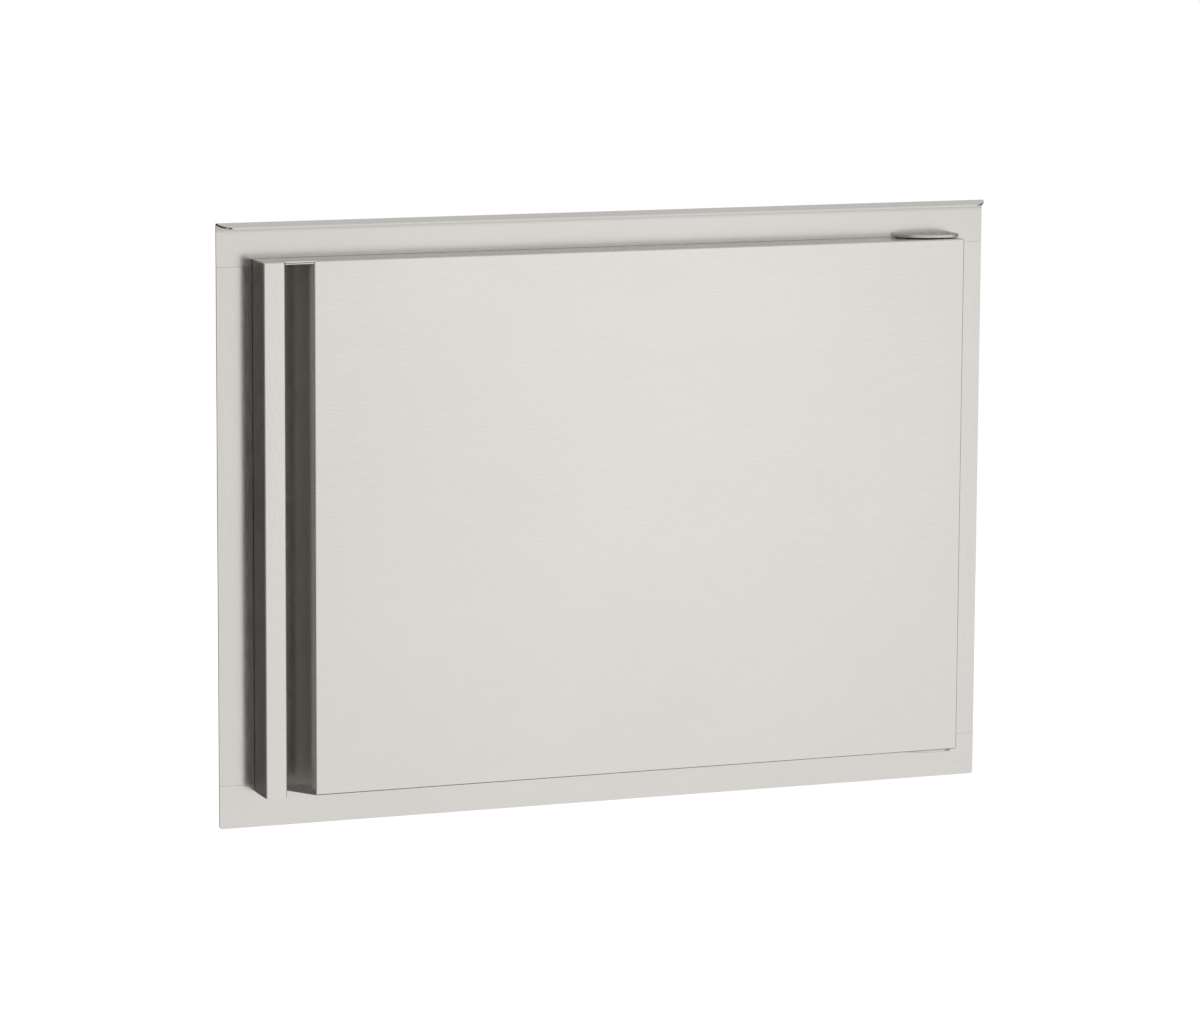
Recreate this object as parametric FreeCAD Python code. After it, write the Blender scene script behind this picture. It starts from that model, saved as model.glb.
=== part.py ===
"""Access door for a built-in barbecue island.

A flanged frame of four folded sheet-metal members sits in a cut-out of the island's wall.
A hollow door hangs in front of it on two fixed tabs: a stud in the lower tab carries it, and a sprung pin
in the door's top locks into the upper tab. A magnetic catch on the left jamb holds it shut.

Millimetres. X to the right, Y into the island, Z up.
The origin is the centre of the cut-out, on the back plane of the frame's flange.
"""
import FreeCAD, Part
import math
import os

Vector = FreeCAD.Vector

# Frame
frame_width = 571.5
frame_height = 419.1
frame_sheet = 1.2
rail_width = 30.0
jamb_depth = 50.0
frame_bend_radius = 0.8
flange_corner_radius = 2.0
seam_chamfer = 0.15
lip_reach = 11.0
lip_drop = 2.7
lip_corner_radius = 10.8

# Screw holes in the jambs, for fixing the frame in the island
fixing_hole_radius = 2.5
fixing_hole_spacing = 254.0
fixing_hole_depth = 35.0

# Door
door_side_overlap = 4.6
door_end_overlap = 5.1
door_thickness = 25.4
door_gap = 1.0
door_sheet = 0.9
door_bend_radius = 0.1
door_corner_radius = 1.0
liner_flange = 8.0
liner_lap_inset = 1.8
rim_gap = 0.9

# Pull recess at the door's left
strip_width = 15.2
strip_return = 5.0
recess_front_width = 20.95
recess_back_width = 4.8
recess_foot = 12.0
recess_foot_rise = 4.0
cap_seam = 0.3
cap_flange = 8.0

# Hinge
pivot_from_door_edge = 9.1
pivot_forward = 12.0
swing_clearance = 0.55
tab_sheet = 2.0
tab_nose_radius = 10.0
tab_length = 44.6
tab_shoulder = 6.0
tab_front_length = 30.5
tab_shoulder_radius = 2.0
tab_slope_radius = 28.0
tenon_width = 8.0
tenon_spacing = 23.3
washer_thickness = 0.6
washer_radius = 6.0
pin_radius = 3.0
pin_chamfer = 0.6
stud_stand = 8.0
stud_head_radius = 4.5
stud_head_height = 1.2

# Brackets and bushes inside the door
bracket_sheet = 2.0
bracket_bend_radius = 0.4
bracket_width = 30.0
bracket_corner_radius = 2.0
bracket_nose_radius = 6.0
bracket_nose_straight = 3.0
bracket_web_inset = 1.5
upper_bracket_height = 55.0
lower_bracket_height = 28.0
bush_radius = 4.5
bush_collar_radius = 6.5
bush_collar_height = 1.2
bush_length = 7.0

# Sprung upper pin
pin_tip_recess = 0.2
pin_travel = 6.0
pull_drop = 20.0
pull_bend_radius = 8.0
pull_angle = 45.0
pull_reach = 13.0
slot_clearance = 0.6
slot_corner_radius = 3.0
clip_radius = 6.0
clip_height = 1.2
clip_groove_depth = 0.5
clip_mouth = 4.4
spring_wire_radius = 0.5
spring_mean_radius = 4.6
spring_turns = 9

# Magnetic catch
catch_length = 46.0
catch_body_length = 28.0
catch_width = 13.0
catch_depth = 20.0
catch_ear_thickness = 3.0
catch_edge_radius = 0.8
magnet_length = 24.0
magnet_depth = 14.0
magnet_thickness = 6.0
pole_thickness = 1.5
pole_stand = 1.5
screw_radius = 1.7
screw_length = 6.5
screw_head_radius = 3.2
screw_head_height = 2.0
screw_head_round = 1.0
screw_point = 1.2
cross_depth = 1.1
cross_width = 0.8
cross_span = 3.6

# Strike plate
strike_thickness = 1.5
strike_width = 12.0
strike_length = 44.0
strike_edge_gap = 1.25
strike_corner_radius = 2.0

# Rivets
rivet_radius = 1.6
rivet_head_radius = 3.2
rivet_head_height = 1.0
rivet_tail_radius = 2.3
rivet_tail_height = 1.5
rivet_tail_round = 0.75
foot_rivet_count = 5
foot_rivet_margin = 24.0
foot_rivet_inset = 4.5
upper_rivet_spacing = 30.0
lower_rivet_spacing = 11.0
strike_rivet_spacing = 32.0

# Fits, and how far a cutting shape runs past what it cuts
running_clearance = 0.05
seat_clearance = 0.02
lap_clearance = 0.05
cut_margin = 4.0

# Places that follow from the sizes above
half_width = frame_width / 2
half_height = frame_height / 2
opening_x = half_width - rail_width
opening_z = half_height - rail_width
jamb_x = opening_x + frame_sheet
jamb_z = opening_z + frame_sheet
door_x = opening_x + door_side_overlap
door_z = opening_z + door_end_overlap
lip_slope = lip_drop / lip_reach
frame_fold_radius = frame_bend_radius + frame_sheet
door_fold_radius = door_bend_radius + door_sheet
flange_front = -frame_sheet
door_back = flange_front - door_gap
door_front = door_back - door_thickness
liner_front = door_back - door_sheet
skin_inside = door_front + door_sheet
skin_z = door_z - door_sheet
liner_z = skin_z - lap_clearance
strip_edge = -door_x + strip_width
wall_front = strip_edge + recess_front_width
wall_foot = strip_edge + recess_back_width
pivot_x = door_x - pivot_from_door_edge
pivot_y = flange_front - pivot_forward
tab_z = door_z + washer_thickness
tab_right = pivot_x + tab_nose_radius
tab_left = tab_right - tab_length
tab_front = pivot_y - tab_nose_radius
bracket_right = pivot_x + bracket_nose_radius
bracket_left = bracket_right - bracket_width
web_right = pivot_x - bracket_web_inset
bracket_rivet_x = (bracket_left + web_right) / 2
ear_underside = skin_z - bracket_sheet
bush_bottom = door_z - bush_length
clip_bottom = bush_bottom - clip_height
spring_seat = skin_z - upper_bracket_height + bracket_sheet
pull_z = skin_z - upper_bracket_height - pull_drop
foot_rivet_x = wall_foot + recess_foot - foot_rivet_inset
strike_left = -opening_x + strike_edge_gap
strike_x = strike_left + strike_width / 2
strike_back = door_back + strike_thickness
catch_front = strike_back + pole_stand
catch_x = -opening_x + catch_width / 2
screw_y = catch_front + catch_depth / 2
screw_z = (catch_length + catch_body_length) / 4


def plan(level):
    """Places an outline of X and Y at a level."""
    return lambda x, y: Vector(x, y, level)


def side(x):
    """Places an outline of Y and Z at an X."""
    return lambda y, z: Vector(x, y, z)


def elevation(y):
    """Places an outline of X and Z at a Y."""
    return lambda x, z: Vector(x, y, z)


def unit(start, end):
    """Direction from one point of an outline to another."""
    length = math.hypot(end[0] - start[0], end[1] - start[1])
    return (end[0] - start[0]) / length, (end[1] - start[1]) / length


def corner_arc(before, corner, after, radius):
    """Start, middle and end of the arc that rounds a corner."""
    into, out = unit(before, corner), unit(corner, after)
    turn = math.acos(into[0] * out[0] + into[1] * out[1])
    reach = radius * math.tan(turn / 2)
    depth = radius / math.cos(turn / 2) - radius
    inward = unit((0, 0), (out[0] - into[0], out[1] - into[1]))
    return ((corner[0] - into[0] * reach, corner[1] - into[1] * reach),
            (corner[0] + inward[0] * depth, corner[1] + inward[1] * depth),
            (corner[0] + out[0] * reach, corner[1] + out[1] * reach))


def rounded_face(points, radii, place):
    """Flat face inside a closed outline, with each corner rounded by its radius, or sharp at none."""
    count = len(points)
    corners = []
    for i, radius in enumerate(radii):
        if radius:
            corners.append(corner_arc(points[i - 1], points[i], points[(i + 1) % count], radius))
        else:
            corners.append([points[i]])
    edges = []
    for i, corner in enumerate(corners):
        if len(corner) == 3:
            edges.append(Part.Arc(*[place(*point) for point in corner]).toShape())
        following = corners[(i + 1) % count]
        edges.append(Part.LineSegment(place(*corner[-1]), place(*following[0])).toShape())
    return Part.Face(Part.Wire(edges))


def shifted_right(points, distance):
    """An open path moved to its right-hand side."""
    normals = []
    for start, end in zip(points, points[1:]):
        along = unit(start, end)
        normals.append((along[1], -along[0]))
    moved = []
    for i, point in enumerate(points):
        first, second = normals[max(i - 1, 0)], normals[min(i, len(normals) - 1)]
        share = distance / (1 + first[0] * second[0] + first[1] * second[1])
        moved.append((point[0] + (first[0] + second[0]) * share, point[1] + (first[1] + second[1]) * share))
    return moved


def shifted_left(points, distance):
    """An open path moved to its left-hand side."""
    return shifted_right(points[::-1], distance)[::-1]


def folded_sheet(points, sheet, bend, place, along):
    """Sheet folded along an open path, on its right-hand side, with the same inside radius at every fold."""
    near, far = [0], [0]
    for before, corner, after in zip(points, points[1:], points[2:]):
        into, out = unit(before, corner), unit(corner, after)
        turns_right = into[0] * out[1] - into[1] * out[0] < 0
        near.append(bend + sheet if turns_right else bend)
        far.append(bend if turns_right else bend + sheet)
    outline = points + shifted_right(points, sheet)[::-1]
    return rounded_face(outline, near + [0, 0] + far[::-1], place).extrude(along)


def box(x0, x1, y0, y1, z0, z1):
    """Box between two corners."""
    return Part.makeBox(x1 - x0, y1 - y0, z1 - z0, Vector(x0, y0, z0))


def bar(radius, start, end):
    """Round bar from one point to another."""
    return Part.makeCylinder(radius, start.distanceToPoint(end), start, end - start)


def pivot_bar(radius, low, high):
    """Round bar on the hinge's axis."""
    return bar(radius, Vector(pivot_x, pivot_y, low), Vector(pivot_x, pivot_y, high))


def mirrored_x(shape):
    """The same shape on the other side."""
    return shape.mirror(Vector(0, 0, 0), Vector(1, 0, 0))


def mirrored_z(shape):
    """The same shape at the other end."""
    return shape.mirror(Vector(0, 0, 0), Vector(0, 0, 1))


def edges_where(shape, test):
    """Edges whose middle passes a test."""
    return [edge for edge in shape.Edges if test(edge.CenterOfMass)]


def same(a, b):
    """Whether two places are one, to a ten-thousandth."""
    return abs(a - b) < 1e-4


def spread(count, reach):
    """Evenly spaced places from one end of a reach to the other, about its middle."""
    return [reach * (2 * i / (count - 1) - 1) for i in range(count)]


def tenon_places():
    """Where the hinge tab's two tenons pass through the flange."""
    middle = (tab_left + tab_right) / 2
    return [middle - tenon_spacing / 2, middle + tenon_spacing / 2]


def tenons(clearance):
    """The hinge tab's tenons, or the slots for them."""
    half = tenon_width / 2 + clearance
    low, high = tab_z - clearance, tab_z + tab_sheet + clearance
    return [box(x - half, x + half, flange_front, 0, low, high) for x in tenon_places()]


def crest_z():
    """Level of the sharp corner of lip and flange whose rounded fold reaches the frame's full height."""
    return half_height + frame_fold_radius * (lip_slope + math.hypot(1, lip_slope) - 1)


def rail(lip):
    """Upper rail: flange over the full width, and a jamb return as wide as the opening."""
    top = lip + [(0, crest_z() if lip else half_height)]
    folded = top + [(0, jamb_z), (jamb_depth, jamb_z)]
    middle = folded_sheet(folded, frame_sheet, frame_bend_radius, side(-jamb_x), Vector(2 * jamb_x, 0, 0))
    straight = top + [(0, opening_z)]
    across = Vector(frame_width, 0, 0)
    ends = folded_sheet(straight, frame_sheet, frame_bend_radius, side(-half_width), across)
    fold_top = opening_z + frame_fold_radius + cut_margin
    ends = ends.cut(box(-jamb_x, jamb_x, flange_front - cut_margin, cut_margin, opening_z, fold_top))
    whole = middle.fuse(ends).removeSplitter()

    def is_seam(p):
        return same(p.y, flange_front) and same(p.z, opening_z) and abs(p.x) > jamb_x

    seams = edges_where(whole, is_seam)
    return whole.makeChamfer(seam_chamfer, seams).cut(tenons(lap_clearance))


def frame_top_rail():
    """Upper rail with the drip lip, which slopes down to the front and has round corners."""
    front = flange_front - lip_reach
    corners = [(-half_width, front), (half_width, front), (half_width, jamb_depth), (-half_width, jamb_depth)]
    trim = rounded_face(corners, [lip_corner_radius, lip_corner_radius, 0, 0], plan(0))
    return rail([(front, crest_z() + lip_slope * front)]).common(trim.extrude(Vector(0, 0, frame_height)))


def frame_bottom_rail():
    """Lower rail, without a lip and with slightly rounded flange corners."""
    shape = rail([])
    corners = edges_where(shape, lambda p: same(abs(p.x), half_width) and same(p.z, half_height))
    return mirrored_z(shape.makeFillet(flange_corner_radius, corners))


def stile():
    """Left stile between the rails, with the fixing holes in its jamb."""
    path = [(-half_width, 0), (-jamb_x, 0), (-jamb_x, jamb_depth)]
    shape = folded_sheet(path, frame_sheet, frame_bend_radius, plan(-opening_z), Vector(0, 0, 2 * opening_z))
    seams = edges_where(shape, lambda p: same(p.y, flange_front) and same(abs(p.z), opening_z))
    shape = shape.makeChamfer(seam_chamfer, seams)
    for z in (-fixing_hole_spacing / 2, fixing_hole_spacing / 2):
        shape = shape.cut(jamb_drill(fixing_hole_radius, fixing_hole_depth, z))
    return shape


def jamb_drill(radius, y, z):
    """Round bar through the left jamb."""
    return bar(radius, Vector(-jamb_x - cut_margin, y, z), Vector(-opening_x + cut_margin, y, z))


def frame_left_stile():
    """Stile on the pull side, which also takes the catch's screws."""
    holes = [jamb_drill(screw_radius + seat_clearance, screw_y, z) for z in (-screw_z, screw_z)]
    return stile().cut(holes)


def frame_right_stile():
    """Stile on the hinge side."""
    return mirrored_x(stile())


def upper_hinge_tab():
    """Plate welded to the flange above the door, round about the pivot, its tenons through the flange."""
    points = [(tab_left, flange_front), (tab_left, flange_front - tab_shoulder),
              (tab_right - tab_front_length, tab_front), (tab_right, tab_front), (tab_right, flange_front)]
    radii = [0, tab_shoulder_radius, tab_slope_radius, tab_nose_radius, 0]
    plate = rounded_face(points, radii, plan(tab_z)).extrude(Vector(0, 0, tab_sheet))
    plate = plate.fuse(tenons(0)).removeSplitter()
    return plate.cut(pivot_bar(pin_radius + running_clearance, door_z, tab_z + tab_sheet + cut_margin))


def lower_hinge_tab():
    """The same plate under the door."""
    return mirrored_z(upper_hinge_tab())


def lower_hinge_pin():
    """Headed stud, pushed up through the lower tab and standing in the door's bush."""
    tip, seat = -door_z + stud_stand, -tab_z - tab_sheet
    shank = pivot_bar(pin_radius, seat - stud_head_height, tip)
    shank = shank.makeChamfer(pin_chamfer, edges_where(shank, lambda p: same(p.z, tip)))
    return shank.fuse(pivot_bar(stud_head_radius, seat - stud_head_height, seat)).removeSplitter()


def hinge_thrust_washer():
    """Washer between the lower tab and the door, which carries the door's weight."""
    hole = pivot_bar(pin_radius + running_clearance, -tab_z - cut_margin, -door_z + cut_margin)
    return pivot_bar(washer_radius, -tab_z, -door_z).cut(hole)


def relief_corners():
    """Corners of the door's hinge side, cut back to a circle that clears the flange as the door turns."""
    radius = pivot_forward - swing_clearance
    back_x = pivot_x + math.sqrt(radius ** 2 - (pivot_forward - door_gap) ** 2)
    side_y = pivot_y + math.sqrt(radius ** 2 - pivot_from_door_edge ** 2)
    return [(door_x, side_y), (back_x, door_back)]


def wall_x(y):
    """Where the open side of the recess's leaning wall stands at a depth."""
    return wall_front + (wall_foot - wall_front) * (y - door_front) / (liner_front - door_front)


def extended(start, end, distance):
    """Point past the end of a run."""
    along = unit(start, end)
    return end[0] + along[0] * distance, end[1] + along[1] * distance


def rounded_block(outline, radii, low, high, low_radius, high_radius):
    """Upright block on a plan outline, its front edge rounded at the foot and at the head."""
    front, back = min(y for x, y in outline), max(y for x, y in outline)
    body = rounded_face(outline, radii, plan(low)).extrude(Vector(0, 0, high - low))
    profile = [(back, low), (front, low), (front, high), (back, high)]
    trim = rounded_face(profile, [0, low_radius, high_radius, 0], side(-half_width))
    return body.common(trim.extrude(Vector(frame_width, 0, 0)))


def door_envelope():
    """Space of the whole door, its ends' corners slightly rounded as welded and ground corners are."""
    corners = [(-door_x, -door_z), (door_x, -door_z), (door_x, door_z), (-door_x, door_z)]
    face = rounded_face(corners, [door_corner_radius] * 4, elevation(door_front))
    return face.extrude(Vector(0, door_thickness, 0))


def door_front_skin():
    """Face of the door with its right, top and bottom returns and the leaning wall of the pull recess."""
    outside = [(wall_x(door_back), door_back), (wall_front, door_front), (door_x, door_front)]
    outside += relief_corners()
    folds = [0, door_fold_radius, door_fold_radius, door_fold_radius, 0]
    outer = rounded_block(outside, folds, -door_z, door_z, door_fold_radius, door_fold_radius)
    inside = shifted_left(outside, door_sheet)
    inside[0] = extended(inside[1], inside[0], cut_margin)
    inside[-1] = extended(inside[-2], inside[-1], cut_margin)
    folds = [0, door_bend_radius, door_bend_radius, door_bend_radius, 0]
    inner = rounded_block(inside, folds, -skin_z, skin_z, door_bend_radius, door_bend_radius)
    shape = outer.cut(inner).fuse(recess_roof()).cut(wall_base()).fuse(recess_foot_flange()).removeSplitter()
    shape = shape.cut(pivot_bar(bush_radius + seat_clearance, -half_height, half_height))
    return shape.cut(rivet_holes(foot_rivet_places())).common(door_envelope())


def recess_roof():
    """Top return over the pull recess, from the handle strip to the leaning wall."""
    points = [(strip_edge, door_back), (strip_edge, door_front), (wall_front, door_front),
              (wall_x(door_back), door_back)]
    return rounded_face(points, [0] * 4, plan(skin_z)).extrude(Vector(0, 0, door_sheet))


def wall_base():
    """Space between the returns for the leaning wall's foot and the liner behind it."""
    front = liner_front - recess_foot_rise
    return box(strip_edge, wall_x(front) + cut_margin, front, door_back, -skin_z, skin_z)


def recess_foot_flange():
    """Foot of the leaning wall, folded into the hollow of the door to lie on the liner."""
    front = liner_front - recess_foot_rise - door_sheet
    path = [(wall_x(front), front), (wall_foot, liner_front), (wall_foot + recess_foot, liner_front)]
    return folded_sheet(path, door_sheet, door_bend_radius, plan(-skin_z), Vector(0, 0, 2 * skin_z))


def door_handle_strip():
    """Post at the door's left edge: side wall, narrow front and short return, closed at the top."""
    outside = [(-door_x, door_back), (-door_x, door_front), (strip_edge, door_front), (strip_edge, door_back)]
    folds = [0, door_fold_radius, door_fold_radius, 0]
    outer = rounded_block(outside, folds, -door_z, door_z, 0, door_fold_radius)
    inside = shifted_left(outside, door_sheet)
    inside[0] = extended(inside[1], inside[0], cut_margin)
    inside[-1] = extended(inside[-2], inside[-1], cut_margin)
    folds = [0, door_bend_radius, door_bend_radius, 0]
    inner = rounded_block(inside, folds, -half_height, skin_z, 0, door_bend_radius)
    return_edge = door_front + strip_return
    open_side = box(strip_edge - cut_margin, strip_edge, return_edge, door_back, -door_z, skin_z)
    return outer.cut(inner).cut(open_side).common(door_envelope())


def handle_channel_top_cap():
    """Plate under the top return that closes the recess, with a flange down the liner."""
    top = skin_z - cap_seam
    path = [(door_front, top), (liner_front, top), (liner_front, top - cap_flange)]
    plate = folded_sheet(path, door_sheet, door_bend_radius, side(-door_x), Vector(2 * door_x, 0, 0))
    points = [(strip_edge + lap_clearance, liner_front), (strip_edge + lap_clearance, door_front),
              (wall_front - lap_clearance, door_front), (wall_foot - lap_clearance, liner_front)]
    trim = rounded_face(points, [0] * 4, plan(0)).extrude(Vector(0, 0, door_z))
    return plate.common(trim)


def door_inner_liner():
    """Panel that closes the door's back, with flanges tucked inside the returns."""
    left = -door_x + door_sheet + lap_clearance
    lap = shifted_left(relief_corners(), door_sheet + lap_clearance)
    past = (door_back - lap[1][1]) / unit(*lap)[1]
    corner = extended(*lap, past)
    lap_end = extended(corner, lap[0], -liner_lap_inset)
    path = [(left, door_back - liner_flange), (left, door_back), corner, lap_end]
    sheet = folded_sheet(path, door_sheet, door_bend_radius, plan(-liner_z), Vector(0, 0, 2 * liner_z))
    rim_left = wall_foot + recess_foot + rim_gap
    rim_right = bracket_left - rim_gap
    front, fold_z = door_back - liner_flange, liner_z - cut_margin
    for low, high in ((-liner_z, -fold_z), (fold_z, liner_z)):
        sheet = sheet.cut(box(rim_left, rim_right, front, door_back, low, high))
    rim_path = [(front, liner_z), (door_back, liner_z), (door_back, -liner_z), (front, -liner_z)]
    along = Vector(rim_right - rim_left, 0, 0)
    rim = folded_sheet(rim_path, door_sheet, door_bend_radius, side(rim_left), along)
    holes = foot_rivet_places() + upper_rivet_places() + lower_rivet_places() + strike_rivet_places()
    return sheet.fuse(rim).removeSplitter().cut(pull_slot()).cut(rivet_holes(holes))


def pull_slot():
    """Slot in the liner that the upper pin's pull passes through and slides down in."""
    slope = math.radians(pull_angle)
    middle_y = (door_back + liner_front) / 2
    x = pivot_x - (middle_y - pivot_y) * math.tan(slope)
    half = pin_radius / math.cos(slope) + door_sheet / 2 * math.tan(slope) + slot_clearance
    low, high = pull_z - pin_travel - pin_radius - slot_clearance, pull_z + pin_radius + slot_clearance
    corners = [(x - half, low), (x + half, low), (x + half, high), (x - half, high)]
    face = rounded_face(corners, [slot_corner_radius] * 4, elevation(liner_front - cut_margin))
    return face.extrude(Vector(0, door_sheet + 2 * cut_margin, 0))


def hinge_bracket(height, ears):
    """Bracket on the liner inside the door's top, with one ear under the top return or a second below it."""
    path = [(pivot_y - bracket_nose_radius, skin_z), (liner_front, skin_z), (liner_front, skin_z - height)]
    if ears == 2:
        path.append((pivot_y - bracket_nose_radius, skin_z - height))
    along = Vector(bracket_width, 0, 0)
    shape = folded_sheet(path, bracket_sheet, bracket_bend_radius, side(bracket_left), along)
    front = pivot_y - bracket_nose_radius
    points = [(bracket_left, liner_front), (bracket_left, front), (bracket_right, front),
              (bracket_right, pivot_y + bracket_nose_straight), (web_right, liner_front)]
    radii = [0, bracket_corner_radius, bracket_nose_radius, bracket_corner_radius, 0]
    trim = rounded_face(points, radii, plan(0)).extrude(Vector(0, 0, door_z))
    return shape.common(trim)


def upper_hinge_bracket():
    """Bracket with two ears: the bush sits in the upper one and the spring stands on the lower one."""
    shape = hinge_bracket(upper_bracket_height, 2)
    shape = shape.cut(pivot_bar(bush_radius + seat_clearance, ear_underside - cut_margin, door_z))
    shape = shape.cut(pivot_bar(pin_radius + running_clearance, 0, spring_seat + cut_margin))
    return shape.cut(rivet_holes(upper_rivet_places()))


def lower_hinge_bracket():
    """Bracket on the bottom return, which holds the lower bush."""
    shape = hinge_bracket(lower_bracket_height, 1)
    shape = mirrored_z(shape.cut(pivot_bar(bush_radius + seat_clearance, ear_underside - cut_margin, door_z)))
    return shape.cut(rivet_holes(lower_rivet_places()))


def upper_hinge_bush():
    """Bush through the top return and the bracket's ear, its collar under the ear."""
    shape = pivot_bar(bush_radius, bush_bottom, door_z)
    shape = shape.fuse(pivot_bar(bush_collar_radius, ear_underside - bush_collar_height, ear_underside))
    return shape.removeSplitter().cut(pivot_bar(pin_radius + running_clearance, 0, half_height))


def lower_hinge_bush():
    """The same bush in the bottom return."""
    return mirrored_z(upper_hinge_bush())


def upper_hinge_pin():
    """Pin that locks into the upper tab, bent at its foot into a pull that comes out of the door's back."""
    slope = math.radians(pull_angle)
    outward = Vector(-math.sin(slope), math.cos(slope), 0)
    reach = (door_back + pull_reach - pivot_y) / math.cos(slope)
    tip = Vector(pivot_x, pivot_y, tab_z + tab_sheet - pin_tip_recess)
    bend_top = Vector(pivot_x, pivot_y, pull_z + pull_bend_radius)
    centre = bend_top + outward * pull_bend_radius
    halfway = centre + (outward * -1 + Vector(0, 0, -1)).normalize() * pull_bend_radius
    bend_end = centre + Vector(0, 0, -pull_bend_radius)
    end = Vector(pivot_x, pivot_y, pull_z) + outward * reach
    upright, pull = Part.LineSegment(tip, bend_top), Part.LineSegment(bend_end, end)
    bend = Part.Arc(bend_top, halfway, bend_end)
    path = Part.Wire([run.toShape() for run in (upright, bend, pull)])
    section = Part.Wire([Part.Circle(tip, Vector(0, 0, 1), pin_radius).toShape()])
    shape = path.makePipeShell([section], True, False)
    rims = edges_where(shape, lambda p: min(p.distanceToPoint(tip), p.distanceToPoint(end)) < pin_chamfer)
    shape = shape.makeChamfer(pin_chamfer, rims)
    groove = pivot_bar(clip_radius, clip_bottom, bush_bottom)
    core = pivot_bar(pin_radius - clip_groove_depth, clip_bottom, bush_bottom)
    return shape.cut(groove.cut(core))


def hinge_pin_clip():
    """Open ring in the pin's groove: it stops against the bush and takes the spring's push."""
    hole = pivot_bar(pin_radius - clip_groove_depth + seat_clearance, clip_bottom, bush_bottom)
    mouth = box(pivot_x - clip_mouth / 2, pivot_x + clip_mouth / 2, pivot_y - clip_radius, pivot_y,
                clip_bottom, bush_bottom)
    return pivot_bar(clip_radius, clip_bottom, bush_bottom).cut([hole, mouth])


def hinge_pin_spring():
    """Spring between the bracket's lower ear and the clip, its ends ground flat."""
    length = clip_bottom - spring_seat
    helix = Part.makeHelix(length / spring_turns, length, spring_mean_radius)
    start = Vector(spring_mean_radius, 0, 0)
    section = Part.Wire([Part.Circle(start, Vector(0, 1, 0), spring_wire_radius).toShape()])
    coil = helix.makePipeShell([section], True, True)
    coil.translate(Vector(pivot_x, pivot_y, spring_seat))
    return coil.common(pivot_bar(clip_radius, spring_seat, clip_bottom))


def magnet_catch_case():
    """Plastic case of the catch, screwed to the left jamb through its two ears."""
    half, jamb = catch_body_length / 2, -opening_x
    body = box(jamb, jamb + catch_width, catch_front, catch_front + catch_depth, -half, half)
    half = catch_length / 2
    ears = box(jamb, jamb + catch_ear_thickness, catch_front, catch_front + catch_depth, -half, half)
    corners = edges_where(ears, lambda p: same(p.x, jamb + catch_ear_thickness / 2))
    ears = ears.makeFillet(catch_ear_thickness, corners)
    outer = edges_where(body, lambda p: p.x > jamb + catch_ear_thickness and p.y > catch_front)
    shape = body.makeFillet(catch_edge_radius, outer).fuse(ears).removeSplitter()
    half_stack = magnet_thickness / 2 + pole_thickness + seat_clearance
    half = magnet_length / 2 + seat_clearance
    back = catch_front + magnet_depth + seat_clearance
    shape = shape.cut(box(catch_x - half_stack, catch_x + half_stack, catch_front, back, -half, half))
    return shape.cut([jamb_drill_through_ear(z) for z in (-screw_z, screw_z)])


def jamb_drill_through_ear(z):
    """Clearance for a screw through an ear of the catch."""
    start = Vector(-opening_x, screw_y, z)
    out = Vector(catch_ear_thickness + cut_margin, 0, 0)
    return bar(screw_radius + running_clearance, start, start + out)


def catch_magnet():
    """Block magnet between the pole plates."""
    half, half_thickness = magnet_length / 2, magnet_thickness / 2
    return box(catch_x - half_thickness, catch_x + half_thickness, catch_front, catch_front + magnet_depth,
               -half, half)


def catch_pole_plates():
    """Two steel plates that stand out of the case and meet the strike plate."""
    half, inner = magnet_length / 2, magnet_thickness / 2
    outer = inner + pole_thickness
    back = catch_front + magnet_depth
    return Part.makeCompound([box(catch_x + a, catch_x + b, strike_back, back, -half, half)
                              for a, b in ((-outer, -inner), (inner, outer))])


def catch_screw(z):
    """Pan-head screw through an ear of the catch into the jamb."""
    seat = Vector(-opening_x + catch_ear_thickness, screw_y, z)
    out = Vector(1, 0, 0)
    shank = bar(screw_radius, seat - out * screw_length, seat)
    shank = shank.makeChamfer(screw_point, edges_where(shank, lambda p: same(p.x, seat.x - screw_length)))
    head = bar(screw_head_radius, seat, seat + out * screw_head_height)
    top = edges_where(head, lambda p: same(p.x, seat.x + screw_head_height))
    head = head.makeFillet(screw_head_round, top)
    low, half, arm = seat.x + screw_head_height - cross_depth, cross_width / 2, cross_span / 2
    cross = [box(low, low + cut_margin, screw_y - a, screw_y + a, z - b, z + b)
             for a, b in ((half, arm), (arm, half))]
    return shank.fuse(head).removeSplitter().cut(cross)


def catch_screws():
    """Both screws of the catch."""
    return Part.makeCompound([catch_screw(z) for z in (-screw_z, screw_z)])


def strike_plate():
    """Steel plate on the door's back that the magnet holds."""
    left, right, half = strike_left, strike_left + strike_width, strike_length / 2
    corners = [(left, -half), (right, -half), (right, half), (left, half)]
    face = rounded_face(corners, [strike_corner_radius] * 4, elevation(door_back))
    return face.extrude(Vector(0, strike_thickness, 0)).cut(rivet_holes(strike_rivet_places()))


def foot_rivet_places():
    """Where the liner is riveted to the foot of the leaning wall."""
    return [(foot_rivet_x, z) for z in spread(foot_rivet_count, skin_z - foot_rivet_margin)]


def upper_rivet_places():
    """Where the upper hinge bracket is riveted."""
    middle = skin_z - upper_bracket_height / 2
    return [(bracket_rivet_x, middle + step) for step in spread(2, upper_rivet_spacing / 2)]


def lower_rivet_places():
    """Where the lower hinge bracket is riveted."""
    middle = -skin_z + (lower_bracket_height + bracket_sheet) / 2
    return [(bracket_rivet_x, middle + step) for step in spread(2, lower_rivet_spacing / 2)]


def strike_rivet_places():
    """Where the strike plate is riveted."""
    return [(strike_x, z) for z in spread(2, strike_rivet_spacing / 2)]


def rivet_holes(places):
    """Holes along Y through everything that is riveted at the back of the door."""
    front, back = liner_front - cut_margin, door_back + cut_margin
    return [bar(rivet_radius + lap_clearance, Vector(x, front, z), Vector(x, back, z)) for x, z in places]


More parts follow.
